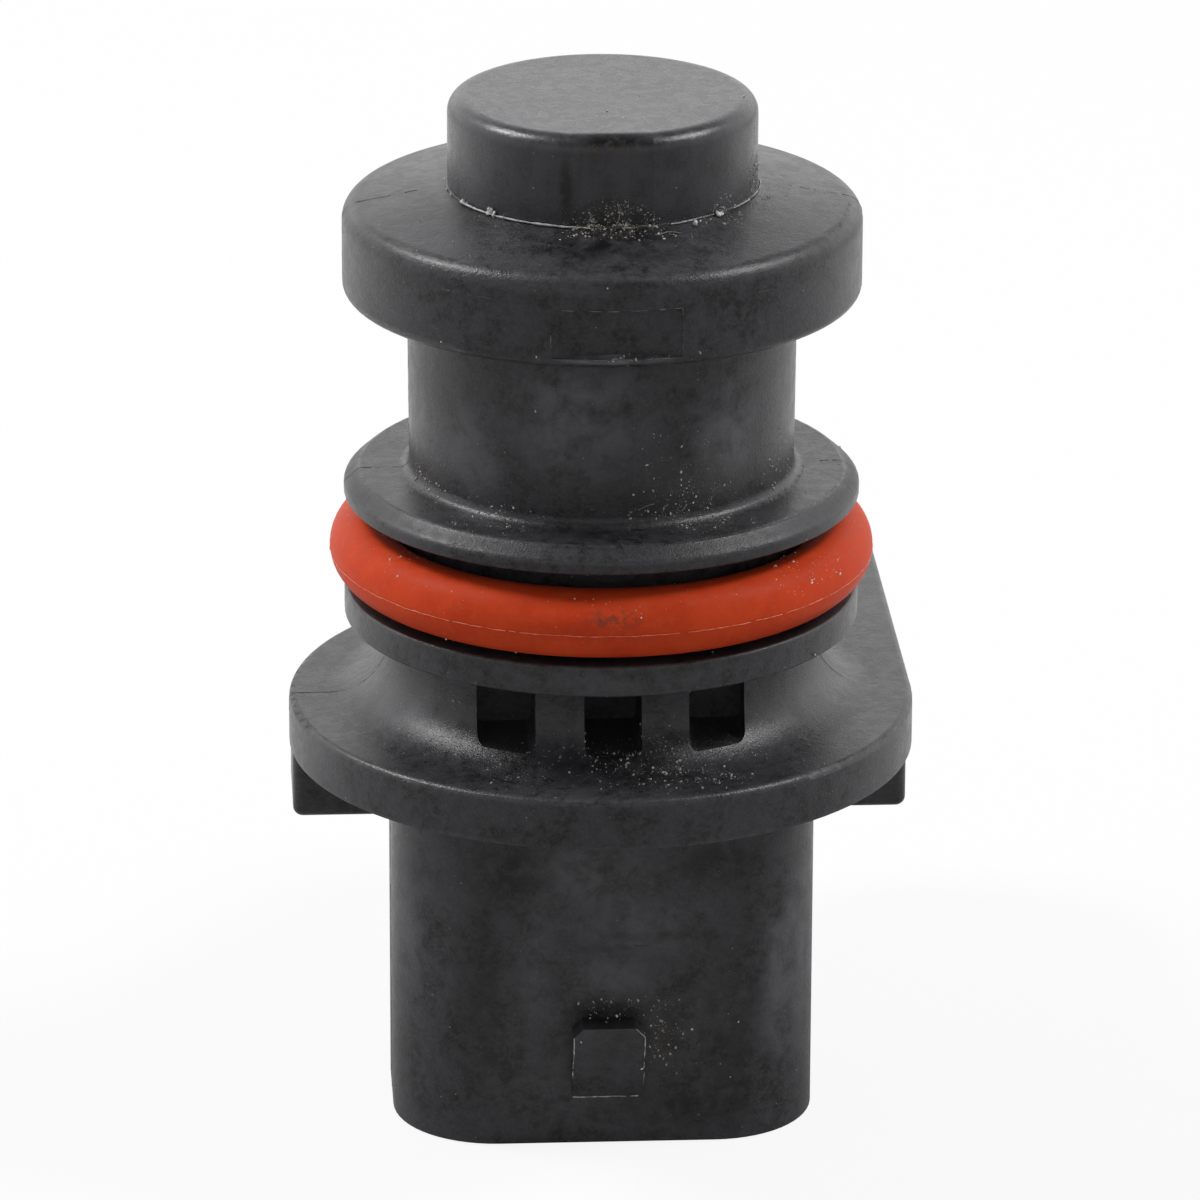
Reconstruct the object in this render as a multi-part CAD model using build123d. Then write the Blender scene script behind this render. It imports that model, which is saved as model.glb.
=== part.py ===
from build123d import *
import os
from math import acos, atan2, cos, degrees, radians, sin, sqrt, tan

# Camshaft position sensor, in millimetres. Z is the axis of the round spigot and points to the
# sensing tip. Z = 0 is the rim of the connector, on which the sensor stands. -Y is the front,
# with the connector's latch nose, and +Y is the side that the mounting ear points to.

# Heights along the axis, from the connector's rim to the tip
SHROUD_H = 18.7
FLANGE_H = 2.45
WAIST_H = 4.2
LOWER_LAND_H = 1.55
GROOVE_H = 4.6
UPPER_LAND_H = 1.25
NECK_H = 8.95
DISC_H = 5.33
HEAD_H = 4.4

# Spigot: the lands and the disc share one radius, which the engine's bore takes
SPIGOT_R = 12.5
GROOVE_DEPTH = 2.6
NECK_DEPTH = 3.18
NECK_DRAFT = 0.08
WAIST_DEPTH = 2.1
WAIST_FLARE = 2.9
LAND_BEVEL_R = 0.75
LAND_BEVEL_H = 0.65
LAND_EDGE = 0.3
DISC_SLOPE = 11.0
DISC_EDGE = 0.95
DISC_FOOT = 0.55
NECK_FOOT = 0.5
GROOVE_FILLET = 0.3
MOULD_EDGE = 0.15

# Windows cored into the waist under the lower land, front and rear
WINDOW_W = 2.75
WINDOW_PITCH = 5.05
WINDOW_COUNT = 3
WINDOW_SILL = 0.7
WINDOW_WALL_Y = 6.1
WINDOW_CORNER = 0.4

# Shallow flat in the front of the disc's side
PAD_W = 6.15
PAD_H = 2.4
PAD_RISE = 0.5
PAD_DEPTH = 0.43

# Flange and mounting ear
FLANGE_OUT = 2.76
FLANGE_EDGE = 0.35
EAR_Y = 20.8
EAR_R = 8.5
EAR_H = 4.16
EAR_LEAN = 0.16
EAR_INSET = 0.15
EAR_CORNER = 0.5
EAR_EDGE = 0.45
EAR_WALL = 1.8
EAR_RIB = 1.6
EAR_RIB_GAP = 10.0
POCKET_CORNER = 0.5
SLEEVE_R = 4.5
SLEEVE_BORE_R = 3.2
SLEEVE_CHAMFER = 0.35
BOSS_LAP = 0.3

# Connector shroud and its socket
SHROUD_X = 10.34
SHROUD_Y = 7.2
SHROUD_CORNER = 5.05
SHROUD_WALL = 1.5
SHROUD_RIM = 0.12
SOCKET_DEPTH = 12.4
SOCKET_LEAD = 0.45
SOCKET_FILLET = 0.4
KEY_X = 4.6
KEY_W = 1.2
KEY_H = 0.8
KEY_Z = 1.5

# Latch nose on the shroud's front wall
LATCH_Z = 2.5
LATCH_H = 4.15
LATCH_W = 3.45
LATCH_LAND = 0.85
LATCH_OUT = 1.45
LATCH_CORNER = 0.45

# Sensing cap: a head and foot above the disc, a stem and collar gripped by the moulding below
STEM_DEPTH = 2.36
CAP_STEP = 0.48
CAP_EDGE = 0.83
CAP_WALL = 0.9
CAP_ROOF = 0.8
CAP_CORNER = 0.3
FOOT_OUT = 0.08
FOOT_LIP = 0.1
FOOT_SINK = 0.4
COLLAR_OUT = 1.1
COLLAR_H = 1.3
COLLAR_DROP = 1.6
FACET_W = 4.0
NOTCH_W = 3.9
NOTCH_H = 1.3
NOTCH_DEPTH = 0.18

# O-ring
RING_D = 3.3
RING_SEAT = 0.25

# Stamped terminals
BLADE_W = 1.5
BLADE_T = 0.8
BLADE_PITCH = 4.0
BLADE_REACH = 7.9
BLADE_POINT = 0.45
TAIL_W = 1.1
TAIL_PITCH = 1.9
TAIL_GAP = 2.5
JOG_H = 2.6
JOG_GAP = 2.4

# Block that holds the terminals, with a round plate that closes the cap
HOLDER_FLOOR = 2.2
HOLDER_WALL = 1.45
HOLDER_SKIN = 0.8
HOLDER_CORNER = 0.8
PLATE_H = 1.5

# Chip capacitors between the terminals
CAPACITOR_L = 3.2
CAPACITOR_W = 1.6
CAPACITOR_H = 1.2
CAPACITOR_RISE = 3.45
CAPACITOR_EDGE = 0.1

# Chip, leads, pole piece and magnet in the cap
FIT = 0.08
CHIP_X = 5.2
CHIP_Y = 4.4
CHIP_H = 1.3
CHIP_GAP = 0.15
CHIP_CORNER = 0.25
LEAD_W = 0.5
LEAD_T = 0.4
LEAD_SKIN = 1.2
LEAD_GAP = 1.27
LEAD_BEND = 0.55
LEAD_DROP = 0.9
LEAD_WELD = 2.5
LEAD_END_GAP = 1.2
MAGNET_H = 5.0
MAGNET_EDGE = 0.15
POLE_H = 0.6
CARRIER_SKIN = 0.5
CARRIER_EDGE = 0.4

# Levels and places that follow from the sizes above
FLANGE_Z = SHROUD_H
EAR_Z = FLANGE_Z - EAR_H
SEAT_Z = FLANGE_Z + FLANGE_H
LOWER_LAND_Z = SEAT_Z + WAIST_H
GROOVE_Z = LOWER_LAND_Z + LOWER_LAND_H
UPPER_LAND_Z = GROOVE_Z + GROOVE_H
NECK_Z = UPPER_LAND_Z + UPPER_LAND_H
DISC_Z = NECK_Z + NECK_H
DISC_TOP_Z = DISC_Z + DISC_H
TIP_Z = DISC_TOP_Z + HEAD_H
FLANGE_R = SPIGOT_R + FLANGE_OUT
EAR_X = FLANGE_R - EAR_R - EAR_LEAN
GROOVE_R = SPIGOT_R - GROOVE_DEPTH
NECK_R = SPIGOT_R - NECK_DEPTH
STEM_R = NECK_R - STEM_DEPTH
HEAD_R = STEM_R + CAP_STEP
FOOT_R = HEAD_R + FOOT_OUT
CAP_IN_R = STEM_R - CAP_WALL
CAP_IN_Z = TIP_Z - CAP_ROOF
CHIP_Z = CAP_IN_Z - CHIP_GAP - CHIP_H
POLE_Z = CHIP_Z - CARRIER_SKIN - POLE_H
MAGNET_Z = POLE_Z - MAGNET_H
CARRIER_R = CAP_IN_R - FIT
LEAD_Y = sqrt(CARRIER_R ** 2 - (TAIL_PITCH + LEAD_W / 2) ** 2) - LEAD_T / 2 - LEAD_SKIN
MAGNET_R = LEAD_Y - LEAD_GAP
TAIL_Z = MAGNET_Z - TAIL_GAP
LEAD_JOG_Z = TAIL_Z - LEAD_DROP
LEAD_END_Z = LEAD_JOG_Z - LEAD_WELD
CAP_Z = LEAD_END_Z - LEAD_END_GAP
PLATE_Z = CAP_Z - PLATE_H
JOG_TOP_Z = PLATE_Z - JOG_GAP
BLADE_TIP_Z = SOCKET_DEPTH - BLADE_REACH
SIDES = (-1, 1)
OVERCUT = 1.0


def revolved(points, radii):
    """Turn a closed outline of (radius, height) points round Z; radii round its corners."""
    outline = FilletPolyline(*points, radius=radii, close=True)
    return revolve(Plane.XZ * make_face(outline), Axis.Z)


def slab(face, z_low, z_high):
    """Raise a flat outline from one height to another."""
    return extrude(Pos(0, 0, z_low) * face, z_high - z_low)


def column(radius, z_low, z_high):
    """A round column on the axis, between two heights."""
    return slab(Circle(radius), z_low, z_high)


def block(x_low, x_high, y_low, y_high, z_low, z_high):
    """A box between two corners."""
    size = Box(x_high - x_low, y_high - y_low, z_high - z_low, align=(Align.MIN,) * 3)
    return Pos(x_low, y_low, z_low) * size


def spigot():
    """The turned form of the moulding, from the flange to the disc, with its O-ring groove."""
    disc_rim_z = DISC_TOP_Z - (SPIGOT_R - FOOT_R) * tan(radians(DISC_SLOPE))
    seat_r = FLANGE_R - FLANGE_EDGE
    points = [
        (0, FLANGE_Z), (seat_r, FLANGE_Z), (seat_r, SEAT_Z), (SPIGOT_R - WAIST_DEPTH, SEAT_Z),
        (SPIGOT_R - WAIST_DEPTH, LOWER_LAND_Z), (SPIGOT_R, LOWER_LAND_Z), (SPIGOT_R, GROOVE_Z),
        (GROOVE_R, GROOVE_Z), (GROOVE_R, UPPER_LAND_Z), (SPIGOT_R, UPPER_LAND_Z),
        (SPIGOT_R, NECK_Z - LAND_BEVEL_H), (SPIGOT_R - LAND_BEVEL_R, NECK_Z), (NECK_R, NECK_Z),
        (NECK_R + NECK_DRAFT, DISC_Z), (SPIGOT_R, DISC_Z), (SPIGOT_R, disc_rim_z),
        (FOOT_R, DISC_TOP_Z), (0, DISC_TOP_Z),
    ]
    radii = [
        0, 0, 0, WAIST_FLARE,
        MOULD_EDGE, MOULD_EDGE, MOULD_EDGE,
        GROOVE_FILLET, GROOVE_FILLET, MOULD_EDGE,
        LAND_EDGE, LAND_EDGE, NECK_FOOT,
        MOULD_EDGE, DISC_FOOT, DISC_EDGE,
        0, 0,
    ]
    return revolved(points, radii)


def ear_tangents():
    """Directions, as unit (x, y), in which the flange's and the ear's circles share tangents."""
    lean = atan2(EAR_Y, EAR_X)
    spread = acos((FLANGE_R - EAR_R) / sqrt(EAR_X ** 2 + EAR_Y ** 2))
    return [(cos(angle), sin(angle)) for angle in (lean - spread, lean + spread)]


def on_circles(direction):
    """The points of the flange's circle and of the ear's circle that lie in a direction."""
    x, y = direction
    return (FLANGE_R * x, FLANGE_R * y), (EAR_X + EAR_R * x, EAR_Y + EAR_R * y)


def plate_outline():
    """Outline of the seat plate: the flange's and the ear's circles, and their tangents."""
    right, left = ear_tangents()
    right_root, right_tip = on_circles(right)
    left_root, left_tip = on_circles(left)
    web = make_face(Polyline(right_root, right_tip, left_tip, left_root, (0, 0), close=True))
    return web + Circle(FLANGE_R) + Pos(EAR_X, EAR_Y) * Circle(EAR_R)


def ear_outline():
    """Outline of the thick block under the ear, whose left tangent runs on to a square corner."""
    right, left = ear_tangents()
    right_tip, left_tip = on_circles(right)[1], on_circles(left)[1]
    left_x = EAR_INSET - FLANGE_R
    corner_y = (FLANGE_R - left_x * left[0]) / left[1]
    corners = [(left_x, 0), (left_x, corner_y), left_tip, right_tip, (right_tip[0], 0)]
    web = make_face(Polyline(*corners, close=True))
    web = fillet(web.vertices().group_by(Axis.Y)[0], EAR_CORNER)
    return web + Pos(EAR_X, EAR_Y) * Circle(EAR_R)


def shroud_outline(margin=0.0):
    """Rounded outline of the connector, grown or shrunk by a margin."""
    return RectangleRounded(
        2 * (SHROUD_X + margin), 2 * (SHROUD_Y + margin), SHROUD_CORNER + margin
    )


def ear_pockets():
    """Cored pockets under the ear, between its outer wall, the boss at its end and two ribs."""
    room = offset(ear_outline(), -EAR_WALL, kind=Kind.INTERSECTION)
    room -= Pos(EAR_X, EAR_Y) * Circle(EAR_R - EAR_WALL + BOSS_LAP)
    room -= shroud_outline()
    for x in (EAR_X, EAR_X - EAR_RIB_GAP):
        room -= Pos(x, EAR_Y / 2) * Rectangle(EAR_RIB, EAR_Y)
    pockets = []
    for face in room.faces():
        core = offset(face, -POCKET_CORNER, kind=Kind.INTERSECTION)
        rounded = offset(core, POCKET_CORNER, kind=Kind.ARC)
        pockets.append(slab(rounded, EAR_Z, FLANGE_Z))
    return pockets


def flange():
    """The seat plate with the thick, cored ear block under its rear half."""
    plate = slab(plate_outline(), FLANGE_Z, SEAT_Z)
    plate = fillet(plate.faces().sort_by(Axis.Z)[-1].edges(), FLANGE_EDGE)
    foot = slab(ear_outline(), EAR_Z, FLANGE_Z)
    foot = fillet(foot.faces().sort_by(Axis.Z)[0].edges(), EAR_EDGE)
    for pocket in ear_pockets():
        foot -= pocket
    return plate + foot


def shroud():
    """The connector's outer wall and floor, with a softened rim."""
    tower = slab(shroud_outline(), 0, FLANGE_Z)
    return fillet(tower.faces().sort_by(Axis.Z)[0].edges(), SHROUD_RIM)


def socket():
    """The cavity that takes the plug, with its lead-in; two key ribs are left standing."""
    cavity = slab(shroud_outline(-SHROUD_WALL), 0, SOCKET_DEPTH)
    cavity = fillet(cavity.faces().sort_by(Axis.Z)[-1].edges(), SOCKET_FILLET)
    key_y = SHROUD_Y - SHROUD_WALL - KEY_H
    for side in SIDES:
        x = side * KEY_X
        cavity -= block(x - KEY_W / 2, x + KEY_W / 2, key_y, SHROUD_Y, KEY_Z, SOCKET_DEPTH)
    mouth = shroud_outline(SOCKET_LEAD - SHROUD_WALL)
    throat = Pos(0, 0, SOCKET_LEAD) * shroud_outline(-SHROUD_WALL)
    return cavity + loft([mouth, throat])


def latch():
    """The nose that the plug's latch snaps over: a flat ledge on top of a ramp."""
    root, wall = -SHROUD_Y + SHROUD_WALL / 2, -SHROUD_Y
    out = wall - LATCH_OUT
    top = LATCH_Z + LATCH_H
    side = [(root, top), (out, top), (out, top - LATCH_LAND), (wall, LATCH_Z), (root, LATCH_Z)]
    half = LATCH_W / 2
    nose = extrude(Plane.YZ * make_face(Polyline(*side, close=True)), half, both=True)
    front = [
        (-half, LATCH_Z), (half, LATCH_Z), (half, top - LATCH_CORNER),
        (half - LATCH_CORNER, top), (LATCH_CORNER - half, top), (-half, top - LATCH_CORNER),
    ]
    return nose & extrude(Plane.XZ * make_face(Polyline(*front, close=True)), SHROUD_Y + LATCH_OUT)


def window_cuts():
    """Straight pockets through the waist's wall, mirrored from the front to the rear."""
    shape = Rectangle(WINDOW_W, WAIST_H - WINDOW_SILL, align=(Align.CENTER, Align.MIN))
    shape = fillet(shape.vertices().group_by(Axis.Y)[0], WINDOW_CORNER)
    cuts = []
    for k in range(WINDOW_COUNT):
        x = (k - (WINDOW_COUNT - 1) / 2) * WINDOW_PITCH
        face = Plane.XZ.offset(WINDOW_WALL_Y) * (Pos(x, SEAT_Z + WINDOW_SILL) * shape)
        front = extrude(face, SPIGOT_R - WINDOW_WALL_Y + OVERCUT)
        cuts += [front, mirror(front, Plane.XZ)]
    return cuts


def disc_pad():
    """The shallow rectangular flat in the front of the disc's side."""
    z = DISC_Z + PAD_RISE
    return block(-PAD_W / 2, PAD_W / 2, -SPIGOT_R - OVERCUT, PAD_DEPTH - SPIGOT_R, z, z + PAD_H)


def facet_plane_y():
    """Where the flat facet lies in front of the axis."""
    return -sqrt(HEAD_R ** 2 - (FACET_W / 2) ** 2)


def cap_head():
    """The button above the disc: round, with a facet at the front and a rounded top edge."""
    front = Rectangle(2 * HEAD_R, HEAD_R, align=(Align.CENTER, Align.MAX))
    outline = Circle(HEAD_R) - Pos(0, facet_plane_y()) * front
    head = slab(outline, DISC_TOP_Z - FOOT_SINK, TIP_Z)
    return fillet(head.faces().sort_by(Axis.Z)[-1].edges(), CAP_EDGE)


def cap_form():
    """The sensing cap's outer form, filled: head, foot, collar and stem."""
    collar_r = STEM_R + COLLAR_OUT
    collar_top_z = DISC_TOP_Z - COLLAR_DROP
    collar_z = collar_top_z - COLLAR_H
    points = [
        (0, CAP_Z), (STEM_R, CAP_Z), (STEM_R, collar_z), (collar_r, collar_z),
        (collar_r, collar_top_z), (STEM_R, collar_top_z), (STEM_R, DISC_TOP_Z - FOOT_SINK),
        (FOOT_R, DISC_TOP_Z - FOOT_SINK), (FOOT_R, DISC_TOP_Z + FOOT_LIP),
        (0, DISC_TOP_Z + FOOT_LIP),
    ]
    radii = [0, 0, 0, MOULD_EDGE, MOULD_EDGE, 0, 0, 0, FOOT_LIP / 2, 0]
    return revolved(points, radii) + cap_head()


def sensing_cap():
    """Thin cup that closes the tip, with an arched gate notch at the foot of its facet."""
    lip_z = DISC_TOP_Z + FOOT_LIP
    arch = Plane.XZ * (Pos(0, lip_z) * Ellipse(NOTCH_W / 2, NOTCH_H))
    front = block(
        -HEAD_R, HEAD_R, -FOOT_R - OVERCUT, facet_plane_y() + NOTCH_DEPTH, lip_z, TIP_Z
    )
    notch = extrude(arch, FOOT_R + OVERCUT) & front
    hollow = revolved(
        [(0, CAP_Z), (CAP_IN_R, CAP_Z), (CAP_IN_R, CAP_IN_Z), (0, CAP_IN_Z)], [0, 0, CAP_CORNER, 0]
    )
    return cap_form() - notch - hollow


def terminal(place):
    """One stamped strip: a pointed blade in the socket, a jog, and a tail for the chip's lead."""
    low_x, high_x = place * BLADE_PITCH, place * TAIL_PITCH
    blade, tail = BLADE_W / 2, TAIL_W / 2
    jog_z = JOG_TOP_Z - JOG_H
    point_z = BLADE_TIP_Z + 2 * BLADE_POINT
    right = [
        (low_x + blade - BLADE_POINT, BLADE_TIP_Z), (low_x + blade, point_z),
        (low_x + blade, jog_z), (high_x + tail, JOG_TOP_Z), (high_x + tail, TAIL_Z),
    ]
    left = [
        (high_x - tail, TAIL_Z), (high_x - tail, JOG_TOP_Z), (low_x - blade, jog_z),
        (low_x - blade, point_z), (low_x - blade + BLADE_POINT, BLADE_TIP_Z),
    ]
    strip = Plane.XZ * make_face(Polyline(*right, *left, close=True))
    return extrude(strip, BLADE_T / 2, both=True)


def capacitor(side):
    """A chip capacitor lying across the middle terminal and one of its neighbours."""
    x, z = side * BLADE_PITCH / 2, SEAT_Z + CAPACITOR_RISE
    body = block(
        x - CAPACITOR_L / 2, x + CAPACITOR_L / 2, BLADE_T / 2, BLADE_T / 2 + CAPACITOR_H,
        z, z + CAPACITOR_W
    )
    return fillet(body.edges(), CAPACITOR_EDGE)


def chip():
    """The magnetic sensor chip, flat under the cap's roof."""
    body = block(-CHIP_X / 2, CHIP_X / 2, -CHIP_Y / 2, CHIP_Y / 2, CHIP_Z, CHIP_Z + CHIP_H)
    return chamfer(body.edges().filter_by(Axis.Z), CHIP_CORNER)


def lead(place):
    """A chip lead: out of the chip's side, down past the magnet and in to its terminal."""
    x, z_out = place * TAIL_PITCH, CHIP_Z + CHIP_H / 2
    y_end = -(BLADE_T + LEAD_T) / 2
    path = FilletPolyline(
        (x, -CHIP_Y / 2, z_out), (x, -LEAD_Y, z_out), (x, -LEAD_Y, LEAD_JOG_Z),
        (x, y_end, LEAD_JOG_Z), (x, y_end, LEAD_END_Z), radius=LEAD_BEND
    )
    section = Plane(origin=path @ 0, z_dir=path % 0, x_dir=(1, 0, 0)) * Rectangle(LEAD_W, LEAD_T)
    return sweep(section, path)


def magnet():
    """The bias magnet behind the chip."""
    return chamfer(column(MAGNET_R, MAGNET_Z, POLE_Z).edges(), MAGNET_EDGE)


def pole_piece():
    """The soft iron disc between the magnet and the chip."""
    return column(MAGNET_R, POLE_Z, POLE_Z + POLE_H)


def chip_carrier():
    """The core in the cap: a cradle for the magnet, open at the front, under a chip's pocket."""
    top_z = CHIP_Z + CHIP_H
    core = revolved(
        [(0, CAP_Z), (CARRIER_R, CAP_Z), (CARRIER_R, top_z), (0, top_z)], [0, 0, CARRIER_EDGE, 0]
    )
    slot = MAGNET_R + FIT
    floor_z, skin_z = MAGNET_Z - FIT, POLE_Z + POLE_H
    core -= column(slot, floor_z, skin_z)
    core -= block(-slot, slot, -CARRIER_R, 0, floor_z, skin_z)
    chip_x, chip_y = CHIP_X / 2 + FIT, CHIP_Y / 2 + FIT
    core -= block(-chip_x, chip_x, -chip_y, chip_y, CHIP_Z, top_z + OVERCUT)
    tails = TAIL_PITCH + TAIL_W / 2 + FIT
    core -= block(-tails, tails, -BLADE_T / 2 - FIT, BLADE_T / 2 + FIT, CAP_Z, TAIL_Z + FIT)
    for place in (-1, 0, 1):
        low_x, high_x = (place * TAIL_PITCH + side * (LEAD_W / 2 + FIT) for side in SIDES)
        core -= block(low_x, high_x, -CARRIER_R, LEAD_T - LEAD_Y, CAP_Z, top_z + OVERCUT)
        core -= block(low_x, high_x, -CARRIER_R, 0, CHIP_Z, top_z + OVERCUT)
        core -= block(low_x, high_x, -CARRIER_R, 0, CAP_Z, LEAD_JOG_Z + LEAD_T)
    return core


def holder_form():
    """The terminal holder's outer form, filled."""
    half_x = BLADE_PITCH + BLADE_W / 2 + HOLDER_WALL
    half_y = BLADE_T / 2 + CAPACITOR_H + HOLDER_SKIN
    outline = RectangleRounded(2 * half_x, 2 * half_y, HOLDER_CORNER)
    return slab(outline, SOCKET_DEPTH + HOLDER_FLOOR, PLATE_Z) + column(STEM_R, PLATE_Z, CAP_Z)


def terminal_holder(inserts):
    """The pre-moulded block round the terminals and capacitors."""
    return holder_form() - inserts


def at_sleeve(radius):
    """A round column in the sleeve's place, through the ear and the plate."""
    return Pos(EAR_X, EAR_Y) * column(radius, EAR_Z, SEAT_Z)


def mounting_sleeve():
    """Steel sleeve that takes the bolt's clamp load in the ear."""
    tube = at_sleeve(SLEEVE_R) - at_sleeve(SLEEVE_BORE_R)
    bore_rims = tube.edges().filter_by(GeomType.CIRCLE).sort_by(lambda edge: edge.radius)[:2]
    return chamfer(bore_rims, SLEEVE_CHAMFER)


def housing(inserts):
    """The outer moulding: spigot, flange, ear and connector, moulded round its inserts."""
    body = spigot() + flange() + shroud() + latch()
    return body - window_cuts() - disc_pad() - socket() - at_sleeve(SLEEVE_R) - inserts


def o_ring():
    """The round seal in the groove."""
    place = Pos(GROOVE_R + RING_D / 2, GROOVE_Z + RING_SEAT + RING_D / 2)
    return revolve(Plane.XZ * (place * Circle(RING_D / 2)), Axis.Z)


def build():
    """Every piece of the sensor, by node name."""
    names = {"supply": -1, "signal": 0, "ground": 1}
    terminals = {name + "_terminal": terminal(place) for name, place in names.items()}
    leads = {name + "_chip_lead": lead(place) for name, place in names.items()}
    capacitors = {"supply_capacitor": capacitor(-1), "ground_capacitor": capacitor(1)}
    strips = list(terminals.values())
    pieces = {
        "housing": housing([cap_form(), holder_form(), *strips]),
        "sensing_cap": sensing_cap(),
        "o_ring": o_ring(),
        "mounting_sleeve": mounting_sleeve(),
        "terminal_holder": terminal_holder([*strips, *capacitors.values()]),
        "chip_carrier": chip_carrier(),
        "hall_chip": chip(),
        "pole_piece": pole_piece(),
        "bias_magnet": magnet(),
    }
    return pieces | terminals | leads | capacitors


os.makedirs("parts", exist_ok=True)
for node, shape in build().items():
    export_step(shape, "parts/" + node + ".step")
    print(node, "volume", round(shape.volume, 2), "solids", len(shape.solids()))
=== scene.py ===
# %% [markdown]
# # A camshaft position sensor, dressed for its portrait
#
# The solids of the sensor come from the CAD model and stay exactly where it puts them. What is
# left for Blender is what the moulds, an engine and a few years on a shelf leave on them: satin
# black plastic with cloudy scuffs, flash, parting lines, dust in the corners.

# %% Load the solids
import math
import bmesh
import bpy
from mathutils import Euler, Matrix, Vector


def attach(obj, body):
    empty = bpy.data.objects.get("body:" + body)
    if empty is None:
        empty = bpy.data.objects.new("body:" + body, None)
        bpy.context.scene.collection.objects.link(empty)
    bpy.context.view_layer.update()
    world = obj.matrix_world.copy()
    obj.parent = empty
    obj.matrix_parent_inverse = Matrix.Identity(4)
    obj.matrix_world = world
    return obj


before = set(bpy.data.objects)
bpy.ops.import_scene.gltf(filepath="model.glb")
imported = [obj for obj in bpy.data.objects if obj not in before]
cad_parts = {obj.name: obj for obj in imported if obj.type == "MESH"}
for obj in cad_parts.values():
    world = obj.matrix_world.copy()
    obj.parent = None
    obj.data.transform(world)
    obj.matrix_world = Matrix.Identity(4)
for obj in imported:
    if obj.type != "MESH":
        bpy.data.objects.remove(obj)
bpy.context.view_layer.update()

MM = 0.001
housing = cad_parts["housing"]

# %% [markdown]
# ## Levels of the turned form
#
# The sensor was drawn round one axis, Z, with its connector's rim at zero. A few heights and
# radii of that drawing are repeated here in millimetres, because dust, flash and mould lines
# belong to particular edges and need to know where those edges are.

# %% Heights and radii in millimetres
TIP_Z, DISC_TOP_Z, DISC_RIM_Z, DISC_Z = 51.43, 47.03, 46.06, 41.7
NECK_Z, GROOVE_Z, LOWER_LAND_Z = 32.75, 26.9, 25.35
SEAT_Z, FLANGE_Z = 21.15, 18.7
SPIGOT_R, NECK_R, FLANGE_R, FOOT_R = 12.5, 9.32, 15.26, 7.52
RING_R, RING_WIRE_R, RING_Z = 11.55, 1.65, 28.8
SHROUD_X, SHROUD_Y = 10.34, 7.2
BEVEL_R, BEVEL_H = 0.75, 0.65
print("tip at", TIP_Z, "mm, flange", 2 * FLANGE_R, "mm across")

# %% [markdown]
# ## The camera
#
# Small hard things are photographed from far away with a long lens, which keeps their edges
# parallel. The camera stands 400 mm from the axis, 20 degrees up and a little to the left, and the
# sensor fills the height of a square picture. It was held by hand, so the picture is a fifth of
# a degree off level.

# %% Camera
AIM_Z = 25.7 * MM
DISTANCE = 400 * MM
RISE, SWING, ROLL = math.radians(20.2), math.radians(-3.3), math.radians(0.2)
FOCAL_LENGTH, FILM_WIDTH, PICTURE_PIXELS = 246.0, 36.0, 1200
lens = bpy.data.cameras.new("portrait_lens")
lens.lens, lens.sensor_width, lens.sensor_fit = FOCAL_LENGTH, FILM_WIDTH, "HORIZONTAL"
lens.shift_x = -1 / PICTURE_PIXELS
lens.clip_start, lens.clip_end = 0.01, 10
camera = bpy.data.objects.new("portrait_camera", lens)
bpy.context.collection.objects.link(camera)
camera.location = (
    DISTANCE * math.cos(RISE) * math.sin(SWING),
    -DISTANCE * math.cos(RISE) * math.cos(SWING),
    AIM_Z + DISTANCE * math.sin(RISE),
)
level = Euler((math.pi / 2 - RISE, 0, SWING)).to_matrix()
camera.rotation_euler = (level @ Matrix.Rotation(ROLL, 3, "Z")).to_euler()
bpy.context.scene.camera = camera
bpy.context.scene.view_settings.view_transform = "Standard"
print("camera at", [round(v, 4) for v in camera.location])

# %% [markdown]
# ## Building with nodes
#
# Materials, worlds and Geometry Nodes are all trees of nodes. One small function adds a node,
# sets its options and fills its sockets with a number or with another node's output. The others
# do a sum, move or measure a vector, map a range, and start a group with named sockets.

# %% Node helpers
def put(tree, kind, inputs=None, **options):
    """Add a node to a tree and fill its sockets, by name or number, with values or outputs."""
    made = tree.nodes.new(kind)
    for name, value in options.items():
        setattr(made, name, value)
    for key, value in (inputs or {}).items():
        if isinstance(value, bpy.types.NodeSocket):
            tree.links.new(value, made.inputs[key])
        else:
            made.inputs[key].default_value = value
    return made


def sum_of(tree, operation, *terms, clamp=False):
    """A Math node's result: the operation on one to three numbers or outputs."""
    kind = "ShaderNodeMath"
    return put(tree, kind, dict(enumerate(terms)), operation=operation, use_clamp=clamp).outputs[0]


def times(tree, one, other):
    """Two numbers or outputs multiplied, such as a mask and its strength."""
    return sum_of(tree, "MULTIPLY", one, other)


def plus(tree, one, other):
    """Two numbers or outputs added."""
    return sum_of(tree, "ADD", one, other)


def shift(tree, operation, *terms):
    """A Vector Math node's result."""
    kind = "ShaderNodeVectorMath"
    made = put(tree, kind, dict(enumerate(terms)), operation=operation)
    return made.outputs["Value" if operation == "LENGTH" else "Vector"]


def ramped(tree, value, low, high, start=0.0, end=1.0):
    """Map a value from low..high smoothly to start..end, held at both ends."""
    made = put(tree, "ShaderNodeMapRange", {0: value, 1: low, 2: high, 3: start, 4: end})
    made.interpolation_type = "SMOOTHSTEP"
    return made.outputs[0]


def start_group(name, kind, inputs, outputs):
    """A node group with named sockets; inputs are (name, socket kind, starting value)."""
    tree = bpy.data.node_groups.new(name, kind)
    for label, socket, value in inputs:
        made = tree.interface.new_socket(label, in_out="INPUT", socket_type="NodeSocket" + socket)
        if value is not None:
            made.default_value = value
    for label, socket in outputs:
        tree.interface.new_socket(label, in_out="OUTPUT", socket_type="NodeSocket" + socket)
    return tree, tree.nodes.new("NodeGroupInput").outputs, tree.nodes.new("NodeGroupOutput").inputs


print("node helpers ready")

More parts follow.
